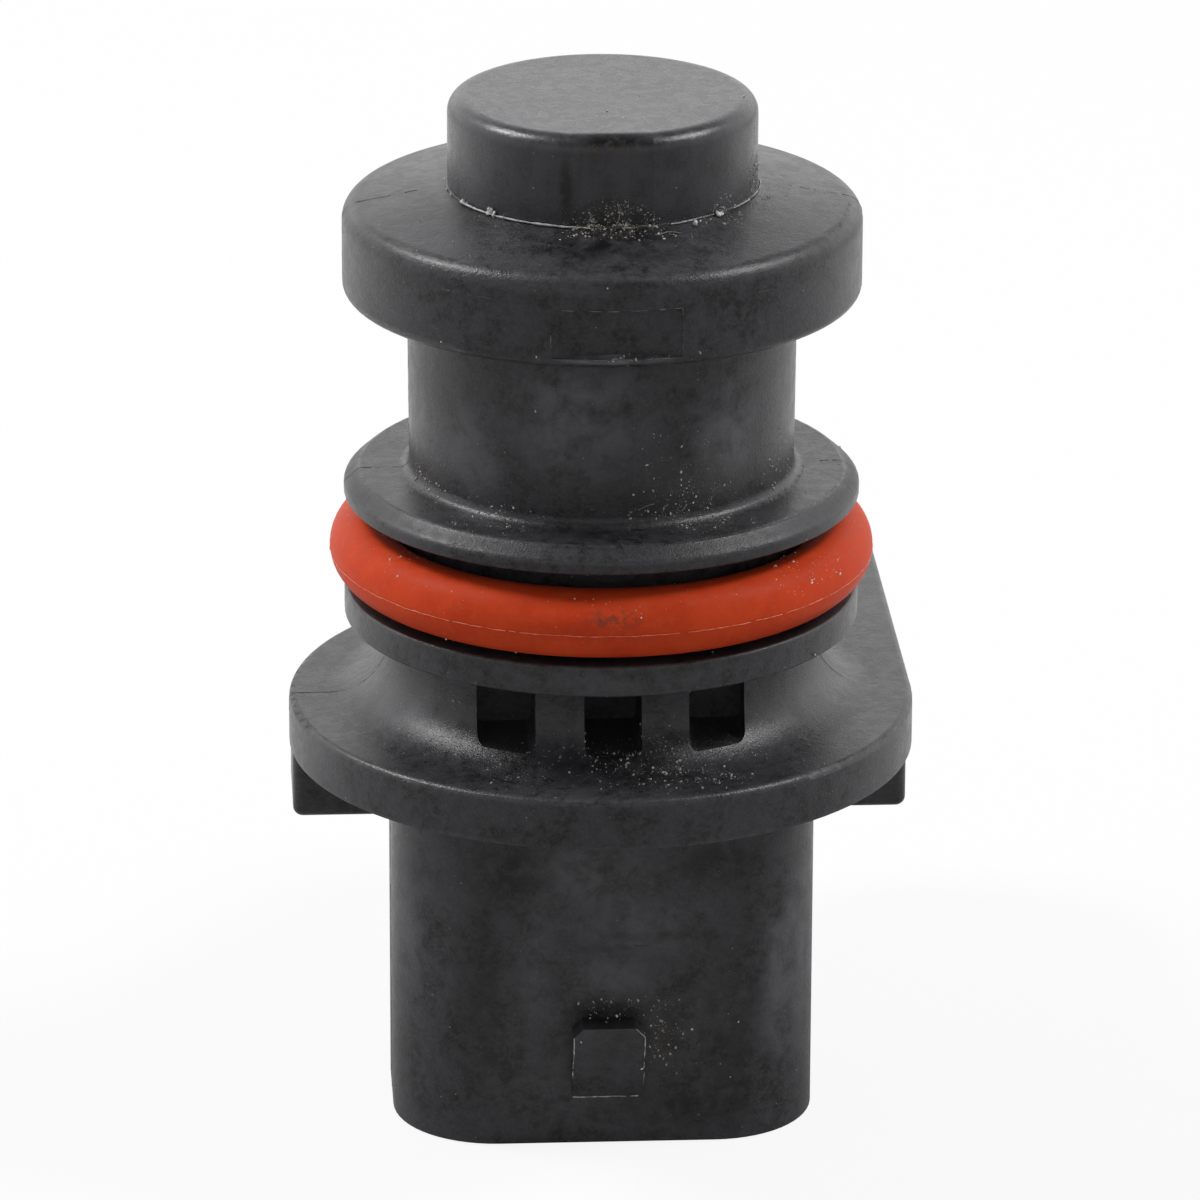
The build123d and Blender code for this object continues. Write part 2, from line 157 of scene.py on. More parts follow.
# %% [markdown]
# ## A light tent
#
# Black satin plastic shows hardly any colour of its own. Nearly all that the eye sees is the
# studio, mirrored softly: the flat tip is pale because it mirrors the bright wall behind it,
# and the fillets draw bright lines because they sweep past the lamps. So the tent is bright
# behind the sensor, dim in front, where the photographer stands, and dim overhead. Two soft boxes
# hang high at its left and right sides. The paper on the floor is shaded in the same
# way, light behind and grey in front, as graduated studio paper is. The camera itself sees
# plain white, at a strength of 1.

# %% The tent, as a world that depends on direction
BACK_LIGHT, FRONT_LIGHT, ROOF_SHARE = 1.32, 0.53, 0.12
FRONT_Y, BACK_Y = -0.7, 0.8
WALL_END_Z, ROOF_START_Z = 0.44, 0.70
world = bpy.data.worlds.new("light_tent")
bpy.context.scene.world = world
world.use_nodes = True
tent = world.node_tree
tent.nodes.clear()
direction = put(tent, "ShaderNodeTexCoord").outputs["Generated"]
ways = put(tent, "ShaderNodeSeparateXYZ", {0: direction}).outputs
wall = ramped(tent, ways["Y"], FRONT_Y, BACK_Y, FRONT_LIGHT, BACK_LIGHT)
roof = ramped(tent, ways["Z"], WALL_END_Z, ROOF_START_Z, 1.0, ROOF_SHARE)
wall = times(tent, wall, roof)
seen = put(tent, "ShaderNodeLightPath").outputs["Is Camera Ray"]
strength = put(tent, "ShaderNodeMix", {0: seen, 2: wall, 3: 1.0}, data_type="FLOAT").outputs[0]
tint = {"Color": (1.0, 1.0, 1.0, 1.0), "Strength": strength}
backdrop = put(tent, "ShaderNodeBackground", tint).outputs[0]
put(tent, "ShaderNodeOutputWorld", {"Surface": backdrop})
print("tent: behind", BACK_LIGHT, "in front", FRONT_LIGHT)


# %% Two soft boxes
def lamp(name, turn, rise, distance, wide, tall, power):
    """A soft box that looks at the sensor from a direction; degrees, metres and watts."""
    light = bpy.data.lights.new(name, "AREA")
    light.shape, light.size, light.size_y, light.energy = "RECTANGLE", wide, tall, power
    made = bpy.data.objects.new(name, light)
    bpy.context.collection.objects.link(made)
    across, up = math.radians(turn), math.radians(rise)
    away = Vector((
        math.cos(up) * math.sin(across), -math.cos(up) * math.cos(across), math.sin(up)
    ))
    made.location = away * distance + Vector((0, 0, AIM_Z))
    made.rotation_euler = away.to_track_quat("Z", "Y").to_euler()


lamp("lamp_left", turn=-108, rise=50, distance=0.8, wide=0.22, tall=0.20, power=3.7)
lamp("lamp_right", turn=90, rise=50, distance=0.8, wide=0.22, tall=0.20, power=2.9)
print("two soft boxes")

# %% The floor
FLOOR_R, FLOOR_DROP = 1.5, 0.03 * MM
floor_mesh = bpy.data.meshes.new("floor")
build = bmesh.new()
bmesh.ops.create_circle(build, cap_ends=True, segments=96, radius=FLOOR_R)
build.to_mesh(floor_mesh)
build.free()
floor_mesh.transform(Matrix.Translation((0, 0, -FLOOR_DROP)))
floor = bpy.data.objects.new("studio_floor", floor_mesh)
bpy.context.collection.objects.link(floor)
print("floor", 2 * FLOOR_R, "m across")

# %% The floor's paper
PAPER_GREY, PAPER_WHITE, GLOW_SHARE = 0.34, 0.85, 0.88
FADE_FRONT, FADE_BACK = -0.06, 0.08
paper = bpy.data.materials.new("white_paper_floor")
paper.use_nodes = True
sheet = paper.node_tree
sheet.nodes.clear()
seen = put(sheet, "ShaderNodeLightPath").outputs["Is Camera Ray"]
spot = put(sheet, "ShaderNodeTexCoord").outputs["Object"]
behind = put(sheet, "ShaderNodeSeparateXYZ", {0: spot}).outputs["Y"]
tone = ramped(sheet, behind, FADE_FRONT, FADE_BACK, PAPER_GREY, PAPER_WHITE)
shown = {0: seen, 2: tone, 3: PAPER_WHITE}
tone = put(sheet, "ShaderNodeMix", shown, data_type="FLOAT").outputs[0]
tone = put(sheet, "ShaderNodeCombineColor", {0: tone, 1: tone, 2: tone}).outputs[0]
matt = put(sheet, "ShaderNodeBsdfDiffuse", {"Color": tone}).outputs[0]
glow = put(sheet, "ShaderNodeEmission", {"Color": (1, 1, 1, 1), "Strength": 1.0}).outputs[0]
share = times(sheet, seen, GLOW_SHARE)
mixed = put(sheet, "ShaderNodeMixShader", {0: share, 1: matt, 2: glow}).outputs[0]
put(sheet, "ShaderNodeOutputMaterial", {"Surface": mixed})
floor_mesh.materials.append(paper)
print("paper from", PAPER_GREY, "to", PAPER_WHITE)

# %% [markdown]
# ## Marks that several materials share
#
# Each effect is a group of nodes with named sockets, built once and used with other numbers in
# each material. They all work on one coordinate, the place on the sensor in millimetres, so a
# mark stays where it is however the sensor is turned.

# %% Cloudy tone: the blotches that handling leaves on satin plastic
cloudy, given, out = start_group(
    "cloudy_tone", "ShaderNodeTree",
    [("Place", "Vector", None), ("Size", "Float", 3.0), ("Low", "Float", 0.4),
     ("High", "Float", 0.6), ("Detail", "Float", 5.0)],
    [("Tone", "Float")],
)
scaled = shift(cloudy, "DIVIDE", given["Place"], put(
    cloudy, "ShaderNodeCombineXYZ", {0: given["Size"], 1: given["Size"], 2: given["Size"]}
).outputs[0])
noise = put(cloudy, "ShaderNodeTexNoise", {
    "Vector": scaled, "Scale": 1.0, "Detail": given["Detail"], "Roughness": 0.62,
    "Distortion": 0.35,
}).outputs["Fac"]
cloudy.links.new(ramped(cloudy, noise, given["Low"], given["High"]), out["Tone"])
print(cloudy.name)

# %% Soft patch: an oval spot in space, for a smear or a stain
patch, given, out = start_group(
    "soft_patch", "ShaderNodeTree",
    [("Place", "Vector", None), ("Centre", "Vector", (0, 0, 0)), ("Half Size", "Vector", (1, 1, 1)),
     ("Softness", "Float", 0.5)],
    [("Mask", "Float")],
)
away = shift(patch, "LENGTH", shift(
    patch, "DIVIDE", shift(patch, "SUBTRACT", given["Place"], given["Centre"]), given["Half Size"]
))
edge = sum_of(patch, "SUBTRACT", 1.0, given["Softness"])
patch.links.new(ramped(patch, away, edge, 1.0, 1.0, 0.0), out["Mask"])
print(patch.name)

# %% Turned band: everything near one circle round the axis, such as a lip or a corner
band, given, out = start_group(
    "turned_band", "ShaderNodeTree",
    [("Place", "Vector", None), ("Radius", "Float", 10.0), ("Height", "Float", 0.0),
     ("Width", "Float", 1.0)],
    [("Mask", "Float")],
)
flat = put(band, "ShaderNodeSeparateXYZ", {0: given["Place"]}).outputs
reach = shift(band, "LENGTH", put(
    band, "ShaderNodeCombineXYZ", {0: flat["X"], 1: flat["Y"]}).outputs[0])
away = shift(band, "LENGTH", put(band, "ShaderNodeCombineXYZ", {
    0: sum_of(band, "SUBTRACT", reach, given["Radius"]),
    1: sum_of(band, "SUBTRACT", flat["Z"], given["Height"]),
}).outputs[0])
share = sum_of(band, "DIVIDE", away, given["Width"])
band.links.new(ramped(band, share, 0.0, 1.0, 1.0, 0.0), out["Mask"])
print(band.name)

# %% Specks: single grains, more of them where Amount is higher
LEAST_GRAIN = 0.4
specks, given, out = start_group(
    "specks", "ShaderNodeTree",
    [("Place", "Vector", None), ("Spacing", "Float", 0.3), ("Amount", "Float", 0.1),
     ("Size", "Float", 0.25)],
    [("Mask", "Float")],
)
cells = put(specks, "ShaderNodeTexVoronoi", {
    "Vector": given["Place"], "Scale": sum_of(specks, "DIVIDE", 1.0, given["Spacing"]),
    "Randomness": 1.0,
}).outputs
dice = put(specks, "ShaderNodeSeparateColor", {0: cells["Color"]}).outputs
lucky = sum_of(specks, "LESS_THAN", dice[0], given["Amount"])
grain_r = times(specks, given["Size"], plus(specks, LEAST_GRAIN, dice[1]))
inside = sum_of(specks, "LESS_THAN", cells["Distance"], grain_r)
specks.links.new(times(specks, lucky, inside), out["Mask"])
print(specks.name)

# %% Fine grain: the sparkle of a spark-eroded mould, as a height
grain, given, out = start_group(
    "fine_grain", "ShaderNodeTree",
    [("Place", "Vector", None), ("Size", "Float", 0.1)],
    [("Height", "Float")],
)
fine = put(grain, "ShaderNodeTexNoise", {
    "Vector": given["Place"], "Scale": sum_of(grain, "DIVIDE", 1.0, given["Size"]),
    "Detail": 3.0, "Roughness": 0.6,
}).outputs["Fac"]
grain.links.new(fine, out["Height"])
print(grain.name)

# %% Streaks: thin scratches and rubbed lines along one direction
streaks, given, out = start_group(
    "streaks", "ShaderNodeTree",
    [("Place", "Vector", None), ("Stretch", "Vector", (1, 1, 6)), ("Size", "Float", 0.3),
     ("Low", "Float", 0.55), ("High", "Float", 0.7)],
    [("Mask", "Float")],
)
drawn = shift(streaks, "DIVIDE", given["Place"], given["Stretch"])
lines = put(streaks, "ShaderNodeTexNoise", {
    "Vector": drawn, "Scale": sum_of(streaks, "DIVIDE", 1.0, given["Size"]),
    "Detail": 4.0, "Roughness": 0.65,
}).outputs["Fac"]
streaks.links.new(ramped(streaks, lines, given["Low"], given["High"]), out["Mask"])
print(streaks.name)


# %% [markdown]
# ## Starting a material
#
# Every finish begins alike: a Principled shader, and the place on the sensor in millimetres.
# `layer` lays one colour over another where a mask says so, as a painter would. `spots_at` and
# `rings_at` turn a list of places into masks.

# %% Material helpers
def start_material(name, **fixed):
    """A material, its tree and its Principled shader with fixed sockets."""
    made = bpy.data.materials.new(name)
    made.use_nodes = True
    tree = made.node_tree
    tree.nodes.clear()
    shader = put(tree, "ShaderNodeBsdfPrincipled")
    for label, value in fixed.items():
        shader.inputs[label.replace("_", " ")].default_value = value
    put(tree, "ShaderNodeOutputMaterial", {"Surface": shader.outputs[0]})
    spot = put(tree, "ShaderNodeTexCoord").outputs["Object"]
    shift(tree, "MULTIPLY", spot, (1000, 1000, 1000)).node.name = "place in mm"
    return made, tree, shader


def use(tree, group, **inputs):
    """Put a shared group in a material, at the place in mm; _ stands for a space in a name."""
    made = put(tree, "ShaderNodeGroup", node_tree=group)
    inputs["Place"] = tree.nodes["place in mm"].outputs[0]
    for label, value in inputs.items():
        socket = made.inputs[label.replace("_", " ")]
        if isinstance(value, bpy.types.NodeSocket):
            tree.links.new(value, socket)
        else:
            socket.default_value = value
    return made.outputs[0]


def layer(tree, mask, below, above, amount=None):
    """Colour `below` covered by colour `above` by a mask, or by an amount of the mask."""
    if amount is not None:
        mask = times(tree, mask, amount)
    colours = {
        6: (*below, 1) if isinstance(below, tuple) else below,
        7: (*above, 1) if isinstance(above, tuple) else above,
    }
    made = put(tree, "ShaderNodeMix", {0: mask, **colours}, data_type="RGBA")
    return made.outputs[2]


def add_up(tree, masks):
    """Several masks as one, never above 1."""
    total = masks[0]
    for mask in masks[1:]:
        total = sum_of(tree, "ADD", total, mask, clamp=True)
    return total


def feed(tree, shader, **sockets):
    """Link outputs to the shader's sockets, by name."""
    for label, output in sockets.items():
        tree.links.new(output, shader.inputs[label.replace("_", " ")])


def spots_at(tree, spots, softness):
    """One mask of many soft ovals: (centre, half size, strength)."""
    return add_up(tree, [
        times(tree, use(tree, patch, Centre=centre, Half_Size=half, Softness=softness), strength)
        for centre, half, strength in spots
    ])


def rings_at(tree, rings):
    """A mask for each circle round the axis: (radius, height, width, strength)."""
    return [
        times(tree, use(tree, band, Radius=radius, Height=height, Width=width), strength)
        for radius, height, width, strength in rings
    ]


def bumped(tree, shader, height, strength, distance):
    """Give a shader's surface a relief from a height."""
    relief = put(tree, "ShaderNodeBump", {
        "Height": height, "Strength": strength, "Distance": distance * MM
    }).outputs[0]
    feed(tree, shader, Normal=relief)


print("material helpers ready")

# %% [markdown]
# ## The housing's black plastic
#
# The housing is injection moulded from a black glass-filled nylon. New, it is an even satin black.
# This one has been handled: cloudy grey scuffs, a rubbed haze on the connector, brown stains and
# dust that has settled where a cloth doesn't reach. Some of its paler and darker patches and the
# pale lines on its edges are painted highlights, reflections and shade. The base colour is darker
# than it looks, because half of what shows is the tent mirrored in it.

# %% Black plastic, four sizes of cloudiness
BLACK, SCUFF, MOTTLE = (0.0075, 0.0075, 0.0083), (0.0305, 0.0306, 0.0345), (0.044, 0.0441, 0.0495)
MEAL, PEPPER = (0.066, 0.066, 0.072), (0.072, 0.072, 0.078)
housing_plastic, tree, shader = start_material(
    "satin_black_plastic", IOR=1.55, Specular_IOR_Level=0.39)
clouds = use(tree, cloudy, Size=2.6, Low=0.40, High=0.58, Detail=5.0)
mottle = use(tree, cloudy, Size=0.7, Low=0.40, High=0.60, Detail=4.0)
pepper = use(tree, cloudy, Size=0.11, Low=0.44, High=0.66, Detail=2.0)
mealy = use(tree, cloudy, Size=0.32, Low=0.44, High=0.62, Detail=4.0)
colour = layer(tree, clouds, BLACK, SCUFF)
colour = layer(tree, mottle, colour, MOTTLE, 0.6)
colour = layer(tree, mealy, colour, MEAL, 0.30)
colour = layer(tree, pepper, colour, PEPPER, 0.30)
print("four layers of grey")

# %% Haze and painted sheen: a rubbed pale bloom, and lighter patches that are painted highlights
HAZE_AND_SHEEN = (0.135, 0.135, 0.146)
# Partly rubbed bloom, partly painted light: the patches on the neck, the shroud's rounded ends and the
# left of the flare are painted reflections and highlights, and the strong thin one on the disc is a
# painted highlight on the pad's lower ledge.
haze_and_sheen_places = [
    ((-2.0, -12.6, 6.0), (8.0, 8.0, 7.0), 0.3), ((-9.5, -5.5, 12.0), (3.5, 6.0, 7.5), 0.45),
    ((9.5, -5.5, 10.0), (3.0, 6.0, 9.0), 0.55), ((0.2, -7.4, 8.7), (3.8, 2.0, 1.9), 0.45),
    ((-0.8, -7.4, 14.3), (4.6, 3.0, 2.6), 0.6), ((1.6, -7.4, 11.4), (5.4, 3.0, 2.2), 0.5),
    ((-3.6, -7.4, 10.2), (1.3, 3.0, 5.5), 0.35), ((8.2, -6.6, 7.0), (1.6, 2.4, 6.0), 0.35),
    ((-2.0, -9.4, 38.2), (5.5, 3.0, 4.6), 0.8), ((-6.4, -6.6, 36.0), (2.6, 3.0, 4.0), 0.5),
    ((5.6, -7.4, 37.0), (3.2, 3.0, 4.6), 0.75), ((0.0, -12.4, 26.1), (10.0, 2.6, 1.1), 0.3),
    ((-6.5, -10.4, 22.8), (2.6, 2.6, 1.4), 0.55), ((0.0, -12.3, DISC_Z + 0.47), (3.6, 0.7, 0.25), 3.0),
    ((13.6, -3.0, 16.4), (2.6, 6.0, 2.6), 0.4),
    ((0.0, 12.0, 9.0), (9.0, 7.0, 8.0), 0.3), ((0.0, 18.0, 21.2), (9.0, 9.0, 1.5), 0.35),
    ((-13.0, -4.0, 21.2), (4.0, 6.0, 2.0), 0.4), ((-9.0, -7.0, 22.5), (2.6, 3.0, 1.6), 0.6),
]
flecks = use(tree, cloudy, Size=1.3, Low=0.26, High=0.70, Detail=6.0)
haze_and_sheen = times(tree, spots_at(tree, haze_and_sheen_places, 0.9), flecks)
colour = layer(tree, haze_and_sheen, colour, HAZE_AND_SHEEN)
print(len(haze_and_sheen_places), "hazy places")

# %% Dark smears and painted shade: rubbed, slightly shinier spots and darkened patches
SMEAR_AND_SHADE = (0.0030, 0.0030, 0.0032)
# Some are painted shade, not smears: the shadow on the wall above the latch nose, and darker
# reflections on the disc top in front of the button and on the flange top.
smear_and_shade_places = [
    ((-4.9, -7.4, 14.4), (3.2, 2.0, 2.2), 0.95), ((5.4, -7.4, 14.6), (3.0, 2.0, 1.8), 0.8),
    ((-6.2, -7.0, 8.0), (1.7, 2.4, 7.0), 0.6), ((6.2, -7.0, 6.0), (2.0, 2.4, 8.0), 0.45),
    ((0.0, -7.4, 6.9), (2.3, 1.6, 1.1), 0.95), ((3.0, -7.4, 10.9), (4.6, 2.0, 0.45), 0.45),
    ((-0.5, -7.4, 10.3), (2.8, 2.0, 0.25), 0.4), ((3.4, -7.2, 2.0), (5.0, 1.6, 2.4), 0.5),
    ((0.0, -8.7, 4.8), (2.2, 1.0, 2.6), 0.6), ((-12.6, -3.0, 21.1), (3.4, 7.0, 0.8), 0.55),
    ((12.6, -3.0, 21.1), (3.4, 7.0, 0.8), 0.5),
    ((0.3, -12.5, 45.7), (1.6, 1.2, 0.5), 0.5), ((0.5, -9.4, 34.2), (3.2, 2.0, 1.4), 0.4),
    ((0.0, -12.6, 21.6), (5.5, 2.4, 1.2), 0.6), ((0.0, -9.4, 47.0), (6.5, 3.2, 1.0), 0.95),
]
ragged = use(tree, cloudy, Size=1.0, Low=0.26, High=0.64, Detail=6.0)
smears_and_shade = times(tree, spots_at(tree, smear_and_shade_places, 0.8), ragged)
colour = layer(tree, smears_and_shade, colour, SMEAR_AND_SHADE)
print(len(smear_and_shade_places), "smears_and_shade")

# %% Stains: brown dirt on the neck's foot and beside the latch
STAIN = (0.050, 0.037, 0.026)
stain_places = [
    ((4.5, -8.3, 34.6), (4.6, 3.0, 2.6), 0.45), ((-8.6, -4.0, 33.6), (1.8, 3.6, 1.6), 0.5),
    ((2.8, -7.3, 5.2), (1.3, 1.4, 2.6), 0.5), ((8.5, -4.2, 34.2), (1.6, 3.4, 1.8), 0.45),
    ((9.5, -7.8, 24.8), (3.2, 3.2, 0.9), 0.35), ((0.0, 9.0, 33.6), (9.5, 3.0, 1.6), 0.35),
]
curdled = use(tree, cloudy, Size=0.5, Low=0.4, High=0.62)
stains = times(tree, spots_at(tree, stain_places, 0.9), curdled)
colour = layer(tree, stains, colour, STAIN)
print(len(stain_places), "stains")

# %% Worn edges and painted highlights: every outer corner is rubbed to a broken, paler line
RUBBED_AND_HIGHLIGHT = (0.085, 0.085, 0.09)
# These pale lines are wear and also painted highlights along the edges, strongest on the disc's rim.
worn_and_highlit_edges = [
    (SPIGOT_R - 0.30, DISC_RIM_Z + 0.15, 0.36, 0.6), (SPIGOT_R - 0.1, DISC_Z + 0.1, 0.35, 0.25),
    (SPIGOT_R, NECK_Z - BEVEL_H, 0.22, 0.3), (SPIGOT_R - BEVEL_R, NECK_Z, 0.18, 0.6),
    (SPIGOT_R, GROOVE_Z, 0.25, 0.7), (SPIGOT_R, LOWER_LAND_Z, 0.25, 0.6),
    (FLANGE_R - 0.15, SEAT_Z - 0.15, 0.5, 0.2), (FLANGE_R, FLANGE_Z, 0.25, 0.35),
    (NECK_R + 0.2, NECK_Z + 0.1, 0.3, 0.4),
]
broken = use(tree, cloudy, Size=0.5, Low=0.35, High=0.62, Detail=5.0)
wear_and_highlight = times(tree, add_up(tree, rings_at(tree, worn_and_highlit_edges)), broken)
colour = layer(tree, wear_and_highlight, colour, RUBBED_AND_HIGHLIGHT)
print(len(worn_and_highlit_edges), "worn edges")

# %% Settled dust: fine specks, thick in the corners
DUST, DUST_EVERYWHERE = (0.34, 0.325, 0.30), 0.006
corners = [
    (NECK_R + 0.3, NECK_Z + 0.2, 1.1, 0.09), (11.2, SEAT_Z + 0.9, 3.2, 0.05),
    (SPIGOT_R, LOWER_LAND_Z, 0.5, 0.06), (FOOT_R + 0.2, DISC_TOP_Z, 0.6, 0.10),
]
flare_dust = ((1.0, -12.4, 22.0), (7.5, 4.5, 2.2), 0.14)
amount = add_up(tree, [DUST_EVERYWHERE] + rings_at(tree, corners))
amount = plus(tree, amount, times(tree, stains, 0.10))
amount = plus(tree, amount, spots_at(tree, [flare_dust], 0.8))
dust = use(tree, specks, Spacing=0.14, Amount=amount, Size=0.2)
feed(tree, shader, Base_Color=layer(tree, dust, colour, DUST, 0.7))
print(len(corners), "dusty corners")

# %% Roughness and relief of the black plastic
SMOOTHEST, ROUGHEST = 0.30, 0.37
gloss = ramped(tree, mottle, 0.0, 1.0, SMOOTHEST, ROUGHEST)
gloss = sum_of(tree, "SUBTRACT", gloss, times(tree, smears_and_shade, 0.05))
gloss = sum_of(tree, "SUBTRACT", gloss, times(tree, wear_and_highlight, 0.05))
gloss = plus(tree, gloss, times(tree, add_up(tree, [dust, stains, haze_and_sheen]), 0.12))
bevel = (SPIGOT_R - BEVEL_R / 2, NECK_Z - BEVEL_H / 2, 0.75, 0.14)
gloss = plus(tree, gloss, rings_at(tree, [bevel])[0])
feed(tree, shader, Roughness=gloss)
fine = use(tree, grain, Size=0.10)
coarse = use(tree, grain, Size=0.30)
relief = plus(tree, fine, times(tree, coarse, 0.5))
relief = plus(tree, relief, times(tree, dust, 1.2))
rubbed = use(tree, streaks, Stretch=(5, 5, 1), Size=0.16, Low=0.6, High=0.72)
relief = sum_of(tree, "SUBTRACT", relief, times(tree, rubbed, 0.5))
bumped(tree, shader, relief, 0.7, 0.028)
print("satin black plastic ready")

# %% [markdown]
# ## The cap's plastic
#
# The button is a separate cup, moulded first and then gripped by the housing. Its top was
# wiped by many thumbs and shows hair-fine rub marks, and its side is mottled in upright streaks.

# %% Cap plastic
CAP_BLACK, CAP_SCUFF = (0.022, 0.022, 0.0246), (0.050, 0.0501, 0.056)
CAP_MOTTLE, CAP_PEPPER = (0.048, 0.048, 0.0535), (0.060, 0.060, 0.065)
CAP_STREAK = (0.060, 0.0605, 0.067)
cap_plastic, tree, shader = start_material(
    "cap_black_plastic", IOR=1.55, Specular_IOR_Level=0.46)
clouds = use(tree, cloudy, Size=1.8, Low=0.34, High=0.68)
colour = layer(tree, clouds, CAP_BLACK, CAP_SCUFF)
mottle = use(tree, cloudy, Size=0.6, Low=0.40, High=0.62, Detail=4.0)
pepper = use(tree, cloudy, Size=0.10, Low=0.44, High=0.66, Detail=2.0)
colour = layer(tree, mottle, colour, CAP_MOTTLE, 0.55)
colour = layer(tree, pepper, colour, CAP_PEPPER, 0.25)
upright = use(tree, streaks, Stretch=(1, 1, 5), Size=0.9, Low=0.42, High=0.66)
colour = layer(tree, upright, colour, CAP_STREAK, 0.5)
print("cap plastic clouded")

# %% Marks, painted shade and dust on the cap
MARK_AND_SHADE, BROWN, THIN_DUST = (0.003, 0.003, 0.0032), (0.05, 0.036, 0.024), 0.004
# The long low band across the front of the cap's foot is painted shade in the crease.
cap_marks_and_shade = [
    ((-2.15, -7.1, 49.0), (0.45, 0.9, 1.9), 0.85), ((0.2, -6.9, 51.1), (2.3, 1.3, 0.5), 0.8),
    ((0.0, -7.6, 47.5), (7.6, 2.0, 0.5), 0.35), ((5.5, -5.2, 49.2), (1.2, 1.4, 1.3), 0.4),
]
ragged = use(tree, cloudy, Size=0.45, Low=0.3, High=0.5)
marks_and_shade = times(tree, spots_at(tree, cap_marks_and_shade, 0.7), ragged)
colour = layer(tree, marks_and_shade, colour, MARK_AND_SHADE)
curdled = use(tree, cloudy, Size=0.35, Low=0.48, High=0.6)
brown = spots_at(tree, [((-0.4, -6.9, 50.9), (2.2, 1.4, 0.6), 0.7)], 0.8)
colour = layer(tree, times(tree, brown, curdled), colour, BROWN)
heap = spots_at(tree, [((0, -7.4, 47.5), (2.2, 1.2, 1.1), 0.25)], 0.5)
foot = rings_at(tree, [(FOOT_R, DISC_TOP_Z, 0.7, 0.06)])
amount = add_up(tree, [THIN_DUST, heap] + foot)
dust = use(tree, specks, Spacing=0.13, Amount=amount, Size=0.2)
feed(tree, shader, Base_Color=layer(tree, dust, colour, DUST, 0.75))
print(len(cap_marks_and_shade), "dark marks")

# %% Roughness and relief of the cap
CAP_SMOOTHEST, CAP_ROUGHEST = 0.26, 0.32
gloss = ramped(tree, mottle, 0.0, 1.0, CAP_SMOOTHEST, CAP_ROUGHEST)
gloss = sum_of(tree, "SUBTRACT", gloss, times(tree, marks_and_shade, 0.06))
feed(tree, shader, Roughness=plus(tree, gloss, times(tree, dust, 0.2)))
rubbed = use(tree, streaks, Stretch=(4, 1, 1), Size=0.14, Low=0.58, High=0.7)
fine = use(tree, grain, Size=0.09)
coarse = use(tree, grain, Size=0.28)
relief = plus(tree, fine, times(tree, coarse, 0.6))
relief = sum_of(tree, "SUBTRACT", relief, times(tree, rubbed, 0.08))
bumped(tree, shader, relief, 0.6, 0.022)
print("cap plastic ready")

# %% [markdown]
# ## The O-ring's silicone
#
# The seal is a ring of orange-red silicone rubber. It is satin, slightly blotchy, a little
# lighter where it was rubbed, with dust in the shade of the land above and one oily grey smudge at
# the front.

# %% Silicone
ORANGE, LIGHT_ORANGE, PALE = (0.59, 0.052, 0.014), (0.66, 0.066, 0.018), (0.60, 0.13, 0.065)
SMUDGE, ORANGE_DUST = (0.12, 0.055, 0.04), (0.75, 0.36, 0.24)
SATIN, DULL = 0.42, 0.52
rubber, tree, shader = start_material("orange_silicone", IOR=1.40, Specular_IOR_Level=0.09)
clouds = use(tree, cloudy, Size=2.2, Low=0.35, High=0.65)
colour = layer(tree, clouds, ORANGE, LIGHT_ORANGE)
mottle = use(tree, cloudy, Size=0.4, Low=0.5, High=0.75, Detail=2.0)
colour = layer(tree, mottle, colour, PALE, 0.22)
smudge = spots_at(tree, [((-0.1, -12.95, 29.5), (1.9, 1.2, 0.6), 0.7)], 0.7)
curdled = use(tree, cloudy, Size=0.5, Low=0.42, High=0.6)
colour = layer(tree, times(tree, smudge, curdled), colour, SMUDGE)
above = rings_at(tree, [(RING_R + 0.9, RING_Z + 1.4, 0.9, 0.05)])[0]
amount = plus(tree, DUST_EVERYWHERE, above)
dust = use(tree, specks, Spacing=0.16, Size=0.22, Amount=amount)
colour = layer(tree, dust, colour, ORANGE_DUST, 0.6)
feed(tree, shader, Base_Color=colour, Roughness=ramped(tree, clouds, 0.0, 1.0, SATIN, DULL))
relief = plus(tree, use(tree, grain, Size=0.12), dust)
bumped(tree, shader, relief, 0.25, 0.02)
print("silicone ready")

# %% [markdown]
# ## Metals and inner plastics
#
# The sleeve, the terminals and everything in the cap are bought or stamped parts with clean
# factory finishes. They show through the socket and the ear's hole, or when someone opens the
# model, so each gets its own finish.


# %% A metal with brushed or tumbled marks
def metal(name, colour, shade, stretch, rough):
    """A metal whose tone and gloss wander along the direction that it was worked in."""
    made, tree, shader = start_material(name, Metallic=1.0)
    drawn = use(tree, streaks, Stretch=stretch, Size=0.12, Low=0.35, High=0.7)
    blotch = use(tree, cloudy, Size=0.9, Low=0.35, High=0.7)
    tone = layer(tree, drawn, colour, shade, 0.5)
    tone = layer(tree, blotch, tone, tuple(0.75 * c for c in shade), 0.3)
    gloss = ramped(tree, drawn, 0.0, 1.0, rough, rough + 0.14)
    feed(tree, shader, Base_Color=tone, Roughness=gloss)
    bumped(tree, shader, drawn, 0.2, 0.01)
    return made


sleeve_steel = metal("zinc_plated_steel", (0.60, 0.61, 0.62), (0.42, 0.42, 0.43), (1, 1, 8), 0.30)
terminal_tin = metal("tinned_bronze", (0.70, 0.68, 0.64), (0.52, 0.50, 0.46), (1, 1, 10), 0.26)
lead_tin = metal("tinned_copper", (0.72, 0.71, 0.69), (0.55, 0.54, 0.52), (1, 1, 5), 0.32)
iron = metal("soft_iron", (0.38, 0.375, 0.37), (0.27, 0.265, 0.26), (6, 1, 1), 0.40)
nickel = metal("nickel_plate", (0.62, 0.59, 0.55), (0.50, 0.47, 0.43), (2, 2, 2), 0.24)
print("five metals")


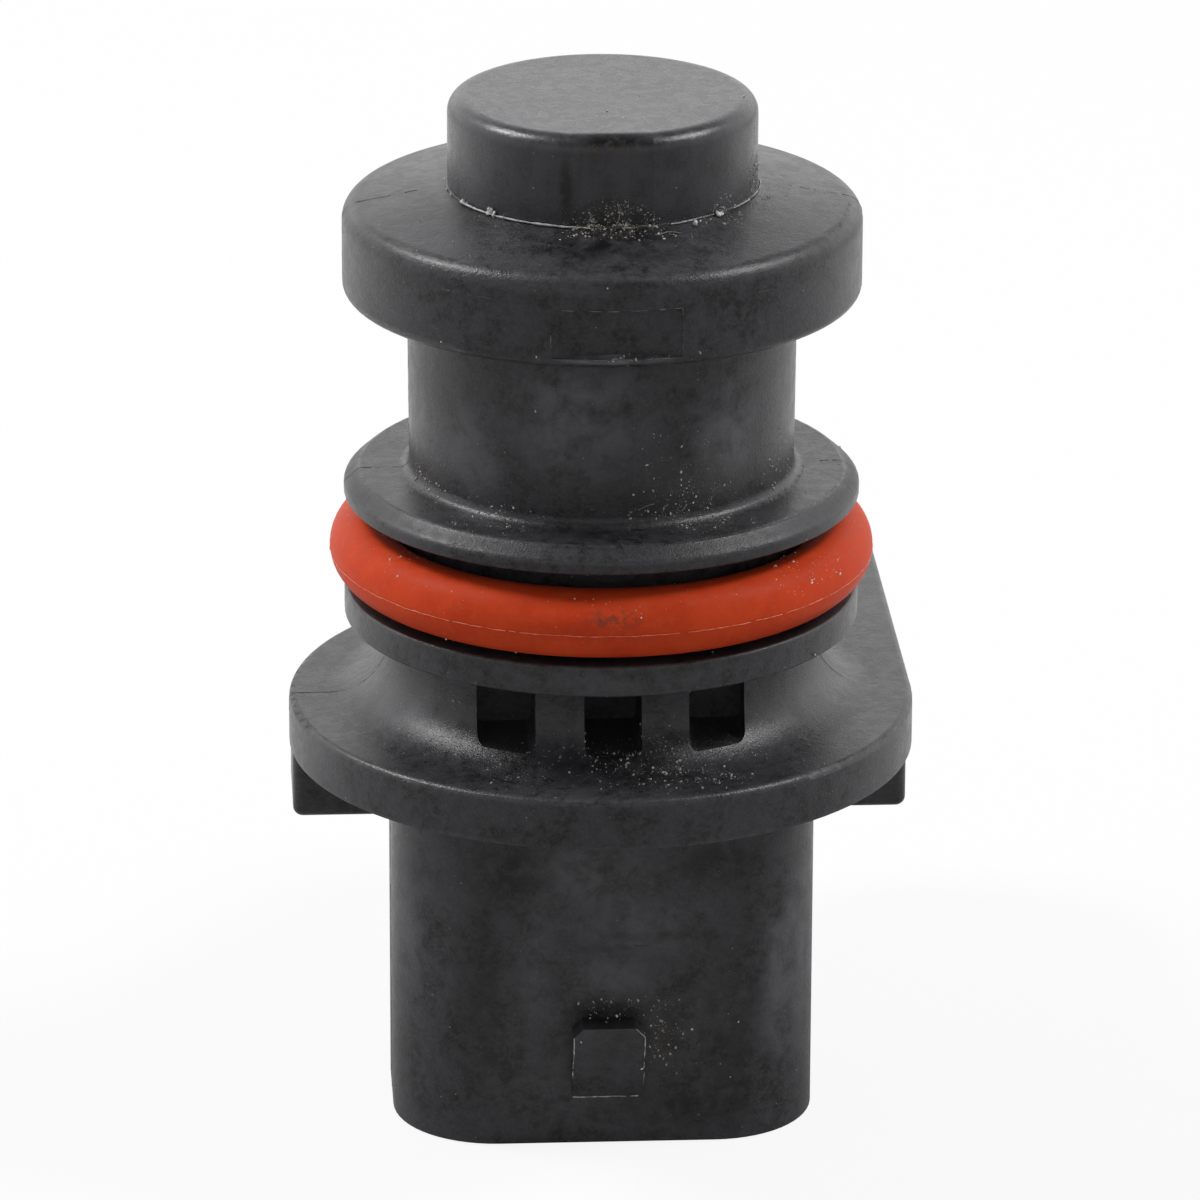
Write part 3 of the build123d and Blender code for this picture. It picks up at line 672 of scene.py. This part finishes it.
# %% A moulded or fired inner material
def inner(name, colour, shade, size, rough):
    """A plain hard material with a grain, for the pieces inside."""
    made, tree, shader = start_material(name, IOR=1.55)
    blotch = use(tree, cloudy, Size=size, Low=0.35, High=0.65)
    gloss = ramped(tree, blotch, 0.0, 1.0, rough, rough + 0.1)
    feed(tree, shader, Base_Color=layer(tree, blotch, colour, shade), Roughness=gloss)
    bumped(tree, shader, use(tree, grain, Size=0.1), 0.25, 0.02)
    return made


holder_plastic = inner("holder_plastic", (0.030, 0.030, 0.032), (0.048, 0.048, 0.050), 1.5, 0.45)
carrier_plastic = inner("carrier_plastic", (0.060, 0.060, 0.065), (0.10, 0.10, 0.105), 1.2, 0.45)
chip_epoxy = inner("chip_epoxy", (0.016, 0.016, 0.018), (0.026, 0.026, 0.028), 0.6, 0.55)
ceramic = inner("capacitor_ceramic", (0.40, 0.29, 0.17), (0.50, 0.37, 0.23), 0.4, 0.30)
print("four inner materials")

# %% Each solid gets its finish
finishes = {
    "housing": housing_plastic, "sensing_cap": cap_plastic, "o_ring": rubber,
    "mounting_sleeve": sleeve_steel, "terminal_holder": holder_plastic,
    "chip_carrier": carrier_plastic, "hall_chip": chip_epoxy, "pole_piece": iron,
    "bias_magnet": nickel, "supply_terminal": terminal_tin, "signal_terminal": terminal_tin,
    "ground_terminal": terminal_tin, "supply_chip_lead": lead_tin, "signal_chip_lead": lead_tin,
    "ground_chip_lead": lead_tin, "supply_capacitor": ceramic, "ground_capacitor": ceramic,
}
for node, finish in finishes.items():
    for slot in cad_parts[node].material_slots:
        slot.material = finish
print(len(finishes), "solids finished")

# %% [markdown]
# ## Paths to grow things along
#
# Flash, parting lines and hairs are long and thin, so each starts as a path: a chain of points,
# in millimetres, joined by edges. Round paths are worked out from a radius and a height.

# %% Paths
def round_path(radius, height, start, end, steps=120):
    """Points on a circle round the axis, from one bearing to another in degrees, 0 at the front."""
    points = []
    for k in range(steps + 1):
        turn = math.radians(start + (end - start) * k / steps)
        points.append((radius * math.sin(turn), -radius * math.cos(turn), height))
    return points


def path_mesh(name, chains):
    """A mesh of edges that joins the points of each chain."""
    points, edges = [], []
    for chain in chains:
        edges += [(len(points) + k, len(points) + k + 1) for k in range(len(chain) - 1)]
        points += [Vector(point) * MM for point in chain]
    made = bpy.data.meshes.new(name)
    made.from_pydata(points, edges, [])
    return made


print("paths ready")

# %% [markdown]
# ## A thread that breaks off and starts again
#
# Where two halves of a mould meet, a little plastic creeps between them and leaves a thin, broken
# edge. One Geometry Nodes group grows every such line. It cuts the path into short steps,
# drops the steps where a noise says that the line is worn away, lets the rest wander a little,
# and makes a thin round thread of it, thicker here and thinner there.

# %% Helpers for trees that make shapes
NOISE_MIDDLE = (0.5, 0.5, 0.5)


def noise_of(tree, here, size, detail=2.0):
    """A noise's value and colour at a place, with blotches of a size."""
    return put(tree, "ShaderNodeTexNoise", {
        "Vector": here, "Scale": sum_of(tree, "DIVIDE", 1.0, size), "Detail": detail,
    }).outputs


def moved(tree, shape, here, size, reach, detail=2.0):
    """Push each point of a shape aside by a noise, half a reach each way at most."""
    away = shift(tree, "SUBTRACT", noise_of(tree, here, size, detail)["Color"], NOISE_MIDDLE)
    away = put(tree, "ShaderNodeVectorMath", {0: away, "Scale": reach}, operation="SCALE")
    return put(tree, "GeometryNodeSetPosition", {0: shape, 3: away.outputs[0]}).outputs[0]


def end_tree(tree, shape, given, out):
    """End a tree: instances made real, the finish set, the mesh put out."""
    real = put(tree, "GeometryNodeRealizeInstances", {0: shape}).outputs[0]
    finished = put(tree, "GeometryNodeSetMaterial", {0: real, 2: given["Finish"]}).outputs[0]
    tree.links.new(finished, out["Mesh"])


print("shape helpers ready")

# %% The thread group
WANDER_SIZE, UNEVEN_SIZE, SEED_STEP, BOTH_WAYS = 0.6 * MM, 0.35 * MM, 0.37, 2.0
THINNEST, THICKEST, SIDES = 0.45, 1.3, 6
thread, given, out = start_group(
    "thread_along_path", "GeometryNodeTree",
    [("Path", "Geometry", None), ("Step", "Float", 0.1 * MM), ("Thickness", "Float", 0.04 * MM),
     ("Gaps", "Float", 0.4), ("Gap Length", "Float", 1.0 * MM), ("Wander", "Float", 0.02 * MM),
     ("Seed", "Float", 1.0), ("Finish", "Material", None)],
    [("Mesh", "Geometry")],
)
line = put(thread, "GeometryNodeMeshToCurve", {"Mesh": given["Path"]}).outputs[0]
line = put(thread, "GeometryNodeResampleCurve", {"Curve": line, "Length": given["Step"]},
           mode="LENGTH").outputs[0]
here = put(thread, "GeometryNodeInputPosition").outputs[0]
seeded = shift(thread, "ADD", here, put(thread, "ShaderNodeCombineXYZ", {
    0: times(thread, given["Seed"], SEED_STEP)}).outputs[0])
line = moved(thread, line, seeded, WANDER_SIZE, times(thread, given["Wander"], BOTH_WAYS))
wire = put(thread, "GeometryNodeCurveToMesh", {"Curve": line}).outputs[0]
worn_away = sum_of(thread, "LESS_THAN", noise_of(thread, seeded, given["Gap Length"], 3.0)["Fac"],
                   given["Gaps"])
kept = put(thread, "GeometryNodeDeleteGeometry", {0: wire, 1: worn_away}).outputs[0]
line = put(thread, "GeometryNodeMeshToCurve", {"Mesh": kept}).outputs[0]
uneven = noise_of(thread, seeded, UNEVEN_SIZE)["Fac"]
uneven = ramped(thread, uneven, 0.3, 0.7, THINNEST, THICKEST)
profile = put(thread, "GeometryNodeCurvePrimitiveCircle", {"Resolution": SIDES, "Radius": 1.0})
body = put(thread, "GeometryNodeCurveToMesh", {
    "Curve": line, "Profile Curve": profile.outputs[0], "Fill Caps": True,
    "Scale": times(thread, uneven, given["Thickness"]),
}).outputs[0]
end_tree(thread, body, given, out)
print(thread.name)


# %% Growing a piece from a path or a surface
def grown(name, group, source_mesh, slot="housing_plastic", **inputs):
    """Run a Geometry Nodes group on a mesh and keep the result as a plain piece on the body."""
    source = bpy.data.objects.new(name + "_source", source_mesh)
    bpy.context.collection.objects.link(source)
    modifier = source.modifiers.new("grow", "NODES")
    modifier.node_group = group
    sockets = {item.name: item.identifier for item in group.interface.items_tree
               if item.item_type == "SOCKET" and item.in_out == "INPUT"}
    for label, value in inputs.items():
        modifier[sockets[label.replace("_", " ")]] = value
    settled = bpy.context.evaluated_depsgraph_get()
    mesh = bpy.data.meshes.new_from_object(source.evaluated_get(settled))
    bpy.data.objects.remove(source)
    piece = bpy.data.objects.new(name, mesh)
    bpy.context.collection.objects.link(piece)
    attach(piece, "root")
    print(name, len(mesh.polygons), "faces")


def threaded(name, path, finish, thickness, gaps, gap_length, wander, seed, slot="housing_plastic"):
    """Grow a thread along chains of points or a mesh of edges; its lengths are in millimetres."""
    if not isinstance(path, bpy.types.Mesh):
        path = path_mesh(name + "_path", path)
    grown(name, thread, path, slot, Thickness=thickness * MM, Gaps=gaps,
          Gap_Length=gap_length * MM, Wander=wander * MM, Seed=seed, Finish=finish)


# %% [markdown]
# ## Finishes for flash, rubbed lines and dust
#
# Thin flash scatters light and looks nearly white against black plastic. A parting line is the same
# plastic as the wall, polished pale by handling. Dust is pale sand and brown dirt in one.

# %% Small finishes
white_flash = inner("white_flash", (0.62, 0.62, 0.60), (0.34, 0.34, 0.34), 0.4, 0.55)
crumb_white = inner("crumb_white", (0.86, 0.86, 0.84), (0.66, 0.66, 0.64), 0.3, 0.5)
pale_line = inner("rubbed_line", (0.050, 0.050, 0.053), (0.022, 0.022, 0.024), 0.35, 0.38)
# The witness line's pale finish is a painted highlight on the pad's edges.
witness_highlight = inner("witness_line_highlight", (0.20, 0.19, 0.175), (0.075, 0.073, 0.07), 0.3, 0.50)
ring_line = inner("silicone_flash", (0.80, 0.32, 0.20), (0.66, 0.16, 0.085), 0.5, 0.45)
dust_finish = inner("settled_dust", (0.60, 0.57, 0.52), (0.22, 0.19, 0.16), 0.25, 0.85)
hair_finish = inner("pale_fibre", (0.38, 0.33, 0.26), (0.22, 0.19, 0.15), 0.4, 0.60)
print("seven small finishes")

# %% [markdown]
# ## Flash round the button
#
# The housing was moulded round the finished cap. Its plastic ended in a knife edge against the
# cap's foot, and handling turned that edge white and broke it off in places.

# %% Cap flash
FLASH_Z = DISC_TOP_Z + 0.06
threaded("cap_flash", [round_path(FOOT_R + 0.03, FLASH_Z, -180, 180)], white_flash,
         thickness=0.028, gaps=0.53, gap_length=1.2, wander=0.03, seed=3.0)
threaded("cap_flash_bright", [round_path(FOOT_R + 0.06, FLASH_Z + 0.02, -66, -8)], white_flash,
         thickness=0.05, gaps=0.36, gap_length=0.9, wander=0.04, seed=5.0)

# %% [markdown]
# ## Flash on the O-ring
#
# The ring came out of a two-part mould as well. Its outer parting line runs round just below the
# widest place, paler than the rubber and torn off unevenly.

# %% O-ring flash
RING_FLASH_DROP = 0.1
ring_flash_r = RING_R + math.sqrt(RING_WIRE_R ** 2 - RING_FLASH_DROP ** 2)
ring_path = [round_path(ring_flash_r, RING_Z - RING_FLASH_DROP, -180, 180, steps=200)]
threaded("ring_flash", ring_path, ring_line, slot="seal_rubber",
         thickness=0.019, gaps=0.36, gap_length=0.6, wander=0.05, seed=8.0)

# %% [markdown]
# ## Parting lines of the housing
#
# The mould's halves opened to the front and to the rear, so the line where they met runs up both
# sides of the housing. A copy of the housing's own surface is cut by the plane between the
# halves, and the outer edges of that cut become the path.

# %% Parting lines
PARTING_Y, MERGE = -0.02, 0.01
GROOVE_HALF, FLARE_R, SLACK = 2.4, 9.9, 0.1


def outside(x, z):
    """Whether a point of the cut is on the housing's outer wall and not in a hollow."""
    walls = [
        (DISC_RIM_Z - 0.4, FOOT_R + 0.2), (LOWER_LAND_Z, NECK_R - SLACK), (FLANGE_Z, FLARE_R),
    ]
    for level, least in walls:
        if z > level:
            return abs(x) > least and not RING_Z - GROOVE_HALF < z < RING_Z + GROOVE_HALF
    return SHROUD_X - SLACK < abs(x) < SHROUD_X + SLACK


cut = bmesh.new()
cut.from_mesh(housing.data)
cut.transform(housing.matrix_world)
bmesh.ops.bisect_plane(
    cut, geom=cut.verts[:] + cut.edges[:] + cut.faces[:], plane_co=(0, PARTING_Y * MM, 0),
    plane_no=(0, 1, 0), clear_inner=True, clear_outer=True)
hidden = [v for v in cut.verts if not outside(v.co.x / MM, v.co.z / MM)]
bmesh.ops.delete(cut, geom=hidden, context="VERTS")
bmesh.ops.remove_doubles(cut, verts=cut.verts[:], dist=MERGE * MM)
parting_path = bpy.data.meshes.new("parting_path")
cut.to_mesh(parting_path)
cut.free()
threaded("parting_lines", parting_path, pale_line,
         thickness=0.014, gaps=0.45, gap_length=1.2, wander=0.012, seed=11.0)

# %% [markdown]
# ## Witness lines, burrs and painted edge highlights
#
# The pad on the disc's front was made by an insert in the mould. Its border shows as a pale dashed
# line, which is also a painted highlight on the pad's edges. The latch nose has a burr down both
# sides, rubbed by plugs that went on and off; these pale lines are also painted highlights on its
# edges. The wall beside it is scratched.

# %% Pad border
PAD_HALF, PAD_LOW, PAD_HIGH = 3.08, DISC_Z + 0.5, DISC_Z + 2.9
pad_turn = math.degrees(math.asin(PAD_HALF / SPIGOT_R))
pad_front = -math.sqrt(SPIGOT_R ** 2 - PAD_HALF ** 2)
pad_border = [
    [(-PAD_HALF, pad_front, PAD_LOW), (-PAD_HALF, pad_front, PAD_HIGH)],
    [(PAD_HALF, pad_front, PAD_LOW), (PAD_HALF, pad_front, PAD_HIGH)],
    round_path(SPIGOT_R, PAD_LOW, -pad_turn, pad_turn, steps=30),
    round_path(SPIGOT_R, PAD_HIGH, -pad_turn, pad_turn, steps=30),
]
# The pale thread is a witness line and a painted highlight on the pad's edges.
threaded("pad_border", pad_border, witness_highlight,
         thickness=0.024, gaps=0.49, gap_length=0.4, wander=0.02, seed=14.0)

# %% Latch burrs, pale as painted edge highlights
LATCH_HALF, LATCH_LOW, LATCH_FRONT = 1.725, 2.5, 8.65
latch_edges = [
    [(-LATCH_HALF, -SHROUD_Y - 0.25, 3.2), (-LATCH_HALF, -LATCH_FRONT, 5.8),
     (-LATCH_HALF, -LATCH_FRONT, 6.2)],
    [(LATCH_HALF, -SHROUD_Y - 0.25, 3.2), (LATCH_HALF, -LATCH_FRONT, 5.8),
     (LATCH_HALF, -LATCH_FRONT, 6.2), (1.3, -LATCH_FRONT, 6.63)],
    [(-LATCH_HALF, -SHROUD_Y, LATCH_LOW - 0.03), (1.5, -SHROUD_Y, LATCH_LOW - 0.03)],
]
# These pale threads are burrs and painted highlights down the nose's sides and along its foot.
threaded("latch_burr_highlights", latch_edges, dust_finish,
         thickness=0.034, gaps=0.40, gap_length=0.4, wander=0.03, seed=17.0)

# %% Scratches on the shroud, scuffs on the disc
scratches = [
    [(4.16, -SHROUD_Y, 10.06), (4.9, -SHROUD_Y, 9.8), (5.68, -SHROUD_Y, 9.29)],
    [(-2.17, -SHROUD_Y, 10.5), (0.2, -SHROUD_Y, 10.52), (1.97, -SHROUD_Y, 10.4)],
    [(2.6, -SHROUD_Y, 7.5), (3.5, -SHROUD_Y, 7.95), (4.1, -SHROUD_Y, 7.8)],
    [(3.3, -SHROUD_Y, 13.1), (3.9, -SHROUD_Y, 12.6), (4.1, -SHROUD_Y, 12.9)],
    [(-5.2, -SHROUD_Y, 12.4), (-4.5, -SHROUD_Y, 12.1)],
]
threaded("shroud_scratches", scratches, pale_line,
         thickness=0.018, gaps=0.42, gap_length=0.4, wander=0.05, seed=21.0)
scuffs = [
    round_path(SPIGOT_R, DISC_Z + 3.15, -40, -24), round_path(SPIGOT_R, DISC_Z + 3.1, 32, 43),
]
threaded("disc_scuffs", scuffs, pale_line,
         thickness=0.02, gaps=0.45, gap_length=0.5, wander=0.05, seed=23.0)

# %% [markdown]
# ## Hairs
#
# A few fibres from a rag cling to the neck's foot, to the button's foot and to the rib between
# two windows. Each is a short bent path, grown as a thread with no gaps.

# %% Hairs
hairs = [
    [(1.2, -9.52, 33.7), (1.55, -9.6, 33.95), (1.95, -9.45, 34.0)],
    [(3.1, -9.05, 33.35), (3.35, -9.15, 33.55), (3.55, -8.9, 33.75)],
    [(0.2, -7.6, 47.2), (0.35, -7.65, 47.6), (0.32, -7.3, 48.2)],
    [(-1.9, -7.85, 47.15), (-1.4, -7.95, 47.3), (-0.9, -7.9, 47.15)],
    [(0.9, -7.9, 47.12), (1.4, -7.95, 47.35), (2.1, -7.7, 47.2)],
    [(2.2, -8.2, 46.95), (2.7, -8.0, 47.05), (3.3, -8.0, 46.95)],
]
threaded("hairs", hairs, hair_finish,
         thickness=0.014, gaps=0.0, gap_length=1.0, wander=0.04, seed=29.0)
on_rib = [
    (1.95, -10.87, 23.13), (2.5, -10.78, 23.12), (2.92, -10.66, 22.82), (3.3, -10.55, 22.4),
    (3.66, -10.45, 21.95),
]
threaded("rib_hair", [on_rib], pale_line,
         thickness=0.022, gaps=0.0, gap_length=1.0, wander=0.03, seed=31.0)

# %% [markdown]
# ## Dust grains
#
# A cloth never reaches the inner corners, so grains collect there: round the button's foot, at the
# foot of the neck, on the O-ring, on the flare under the windows and beside the latch. A Geometry
# Nodes group scatters points evenly and keeps a point where a throw of dice is below the dustiness
# of its place. Each point that is left becomes a tiny lump with its own size and tilt.

# %% How dusty each place is
FULL_WITHIN = 0.15


def dustiness(tree, here, places):
    """Grains per square metre here: the sum of soft ovals (centre, half size, grains per mm2)."""
    total = None
    for centre, half, density in places:
        away = shift(tree, "SUBTRACT", here, Vector(centre) * MM)
        away = shift(tree, "LENGTH", shift(tree, "DIVIDE", away, Vector(half) * MM))
        near = ramped(tree, away, FULL_WITHIN, 1.0, density / MM ** 2, 0.0)
        total = near if total is None else plus(tree, total, near)
    return total


dusty_places = [
    ((1.5, -11.6, 22.0), (5.5, 3.6, 1.6), 20.0), ((3.8, -12.6, 21.4), (3.4, 1.8, 1.0), 24.0),
    ((4.0, -8.6, 33.4), (5.4, 1.8, 1.7), 26.0), ((3.6, -8.8, 35.6), (4.4, 1.6, 2.8), 6.0),
    ((8.2, -4.6, 34.0), (2.0, 3.5, 2.2), 18.0), ((-8.8, -3.6, 33.3), (1.6, 3.4, 0.9), 22.0),
    ((-5.0, -8.0, 33.0), (4.5, 3.0, 0.8), 14.0), ((0.0, -7.2, 47.4), (2.6, 0.9, 1.2), 150.0),
    ((0.8, -7.9, 47.0), (4.2, 1.0, 0.5), 30.0), ((5.6, -5.3, 47.2), (1.9, 1.9, 1.1), 70.0),
    ((7.2, -2.6, 47.6), (0.9, 2.4, 1.8), 60.0), ((-5.8, -5.0, 47.0), (1.8, 1.8, 0.4), 14.0),
    ((0.0, -12.4, 42.2), (3.3, 0.6, 0.3), 20.0), ((-4.6, -11.4, 22.0), (3.0, 2.5, 2.0), 9.0),
    ((6.5, -10.6, 22.2), (3.5, 3.0, 2.0), 8.0),
    ((9.5, -7.8, 25.0), (3.6, 4.5, 1.0), 12.0), ((2.7, -7.3, 5.6), (1.5, 0.6, 2.9), 26.0),
    ((0.3, -7.4, 7.2), (2.2, 0.7, 0.9), 40.0), ((0.0, -12.5, 42.2), (11.0, 5.0, 0.5), 3.0),
    ((0.0, 8.5, 33.2), (9.0, 2.5, 0.8), 10.0), ((0.0, 11.0, 21.8), (9.0, 3.0, 1.2), 8.0),
    ((9.6, -8.0, 30.0), (3.6, 3.6, 1.1), 7.0), ((-10.0, -7.0, 30.2), (2.6, 3.2, 0.8), 3.0),
    ((0.0, -13.0, 29.8), (4.0, 1.0, 0.8), 2.5), ((-9.0, -7.5, 22.6), (3.0, 3.0, 2.0), 4.0),
]
print(len(dusty_places), "dusty places")

# %% Dice, tilts and proportions for lumps
FULL_TURN = 6.28


def thrown(tree, low, high, seed):
    """A random number for each point."""
    return put(tree, "FunctionNodeRandomValue", {2: low, 3: high, 8: seed}).outputs[1]


def tilted(tree, seed):
    """A random turn about all three axes for each point."""
    turns = {0: (0, 0, 0), 1: [FULL_TURN] * 3, 8: seed}
    return put(tree, "FunctionNodeRandomValue", turns, data_type="FLOAT_VECTOR").outputs[0]


def proportions(tree, size, width, height):
    """A lump's three scales: its length, and the shares of it that are its width and height."""
    sides = {0: size, 1: times(tree, size, width), 2: times(tree, size, height)}
    return put(tree, "ShaderNodeCombineXYZ", sides).outputs[0]


print("lump helpers ready")

# %% The grain group
PATCH_SIZE, BARE_PATCH, FULL_PATCH = 0.7 * MM, 0.15, 2.1
LEAST_SIZE, RARITY, KEEP_SEED, TILT_SEED = 0.20, 6.0, 9, 12
GRAIN_WIDTH, GRAIN_HEIGHT = 0.75, 0.55
grains, given, out = start_group(
    "settled_grains", "GeometryNodeTree",
    [("Surface", "Geometry", None), ("Everywhere", "Float", 1.0e5), ("Densest", "Float", 3.0e7),
     ("Largest", "Float", 0.06 * MM), ("Seed", "Int", 4), ("Finish", "Material", None)],
    [("Mesh", "Geometry")],
)
spots = put(grains, "GeometryNodeDistributePointsOnFaces", {
    0: given["Surface"], 4: given["Densest"], 6: given["Seed"]}, distribute_method="RANDOM").outputs
here = put(grains, "GeometryNodeInputPosition").outputs[0]
patchy = noise_of(grains, here, PATCH_SIZE, 3.0)["Fac"]
patchy = ramped(grains, patchy, 0.42, 0.62, BARE_PATCH, FULL_PATCH)
dusty = sum_of(grains, "MULTIPLY_ADD", dustiness(grains, here, dusty_places), patchy,
               given["Everywhere"])
throw = times(grains, thrown(grains, 0.0, 1.0, KEEP_SEED), given["Densest"])
clean = sum_of(grains, "GREATER_THAN", throw, dusty)
settled = put(grains, "GeometryNodeDeleteGeometry", {0: spots["Points"], 1: clean}).outputs[0]
lump = put(grains, "GeometryNodeMeshIcoSphere", {"Radius": 1.0, "Subdivisions": 1}).outputs[0]
small = sum_of(grains, "POWER", thrown(grains, 0.0, 1.0, given["Seed"]), RARITY)
small = sum_of(grains, "MULTIPLY_ADD", small, 1 - LEAST_SIZE, LEAST_SIZE)
size = times(grains, small, given["Largest"])
lying = proportions(grains, size, GRAIN_WIDTH, GRAIN_HEIGHT)
body = put(grains, "GeometryNodeInstanceOnPoints", {
    0: settled, 2: lump, 5: tilted(grains, TILT_SEED), 6: lying}).outputs[0]
end_tree(grains, body, given, out)
print(grains.name)

# %% Scatter the grains: the densest and those everywhere, per square millimetre
LARGEST_GRAIN = 0.105 * MM
dusted = [
    ("housing", "housing_plastic", 52.0, 0.11, dust_finish),
    ("sensing_cap", "cap_plastic", 210.0, 0.12, dust_finish),
    ("o_ring", "seal_rubber", 26.0, 0.08, crumb_white),
]
for node, slot, densest, everywhere, finish in dusted:
    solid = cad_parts[node]
    skin = solid.data.copy()
    skin.transform(solid.matrix_world)
    grown(node + "_dust", grains, skin, slot, Densest=densest / MM ** 2, Seed=4,
          Everywhere=everywhere / MM ** 2, Largest=LARGEST_GRAIN, Finish=finish)

# %% [markdown]
# ## Crumbs of flash
#
# Where the white edge broke off, crumbs of it stay behind, and smaller specks of it cling to the
# disc and beside the latch. They are lumps put on listed spots, dented by a noise so that no
# two are alike.

# %% The crumb group
DENT_SIZE, DENT_DEPTH = 0.12 * MM, 1.3
LEAST_CRUMB, CRUMB_WIDTH, CRUMB_HEIGHT = 0.45, 0.7, 0.6
crumbs, given, out = start_group(
    "crumbs_on_points", "GeometryNodeTree",
    [("Points", "Geometry", None), ("Size", "Float", 0.15 * MM), ("Seed", "Int", 2),
     ("Finish", "Material", None)],
    [("Mesh", "Geometry")],
)
ball = put(crumbs, "GeometryNodeMeshIcoSphere", {"Radius": 1.0, "Subdivisions": 3}).outputs[0]
size = times(crumbs, thrown(crumbs, LEAST_CRUMB, 1.0, given["Seed"]), given["Size"])
shape = proportions(crumbs, size, CRUMB_WIDTH, CRUMB_HEIGHT)
placed = put(crumbs, "GeometryNodeInstanceOnPoints", {
    0: given["Points"], 2: ball, 5: tilted(crumbs, given["Seed"]), 6: shape}).outputs[0]
body = put(crumbs, "GeometryNodeRealizeInstances", {0: placed}).outputs[0]
here = put(crumbs, "GeometryNodeInputPosition").outputs[0]
body = moved(crumbs, body, here, DENT_SIZE, times(crumbs, given["Size"], DENT_DEPTH), 3.0)
end_tree(crumbs, body, given, out)
print(crumbs.name)

# %% Crumbs and specks
crumb_spots = [
    (-6.66, -3.37, 47.1), (-5.7, -5.0, 47.12), (-5.6, -5.1, 47.3), (-5.45, -5.25, 47.15),
    (-6.8, -3.1, 47.15), (4.0, -6.81, 47.08), (5.17, -5.63, 47.12), (5.32, -5.5, 47.1),
]
speck_spots = [
    (-7.35, -1.9, 47.1), (6.19, -5.21, 47.05), (4.75, -6.3, 47.07), (4.25, -6.6, 47.1),
    (-3.3, -11.92, 45.4), (-2.6, -12.15, 45.3), (-1.7, -12.3, 45.15), (-8.12, -9.5, 42.24),
    (1.59, -8.2, 4.33), (0.72, -3.94, 51.43), (-1.4, -8.66, 6.0), (1.72, -7.6, 6.9),
    (0.4, -7.5, 6.85), (-0.9, -7.6, 6.8), (2.1, -7.2, 6.2),
]
broken_off = [
    ("flash_crumbs", crumb_spots, 0.19, 2), ("flash_specks", speck_spots, 0.08, 6),
]
for name, spots, size, seed in broken_off:
    points = bpy.data.meshes.new(name + "_points")
    points.from_pydata([Vector(spot) * MM for spot in spots], [], [])
    grown(name, crumbs, points, Size=size * MM, Seed=seed, Finish=crumb_white)
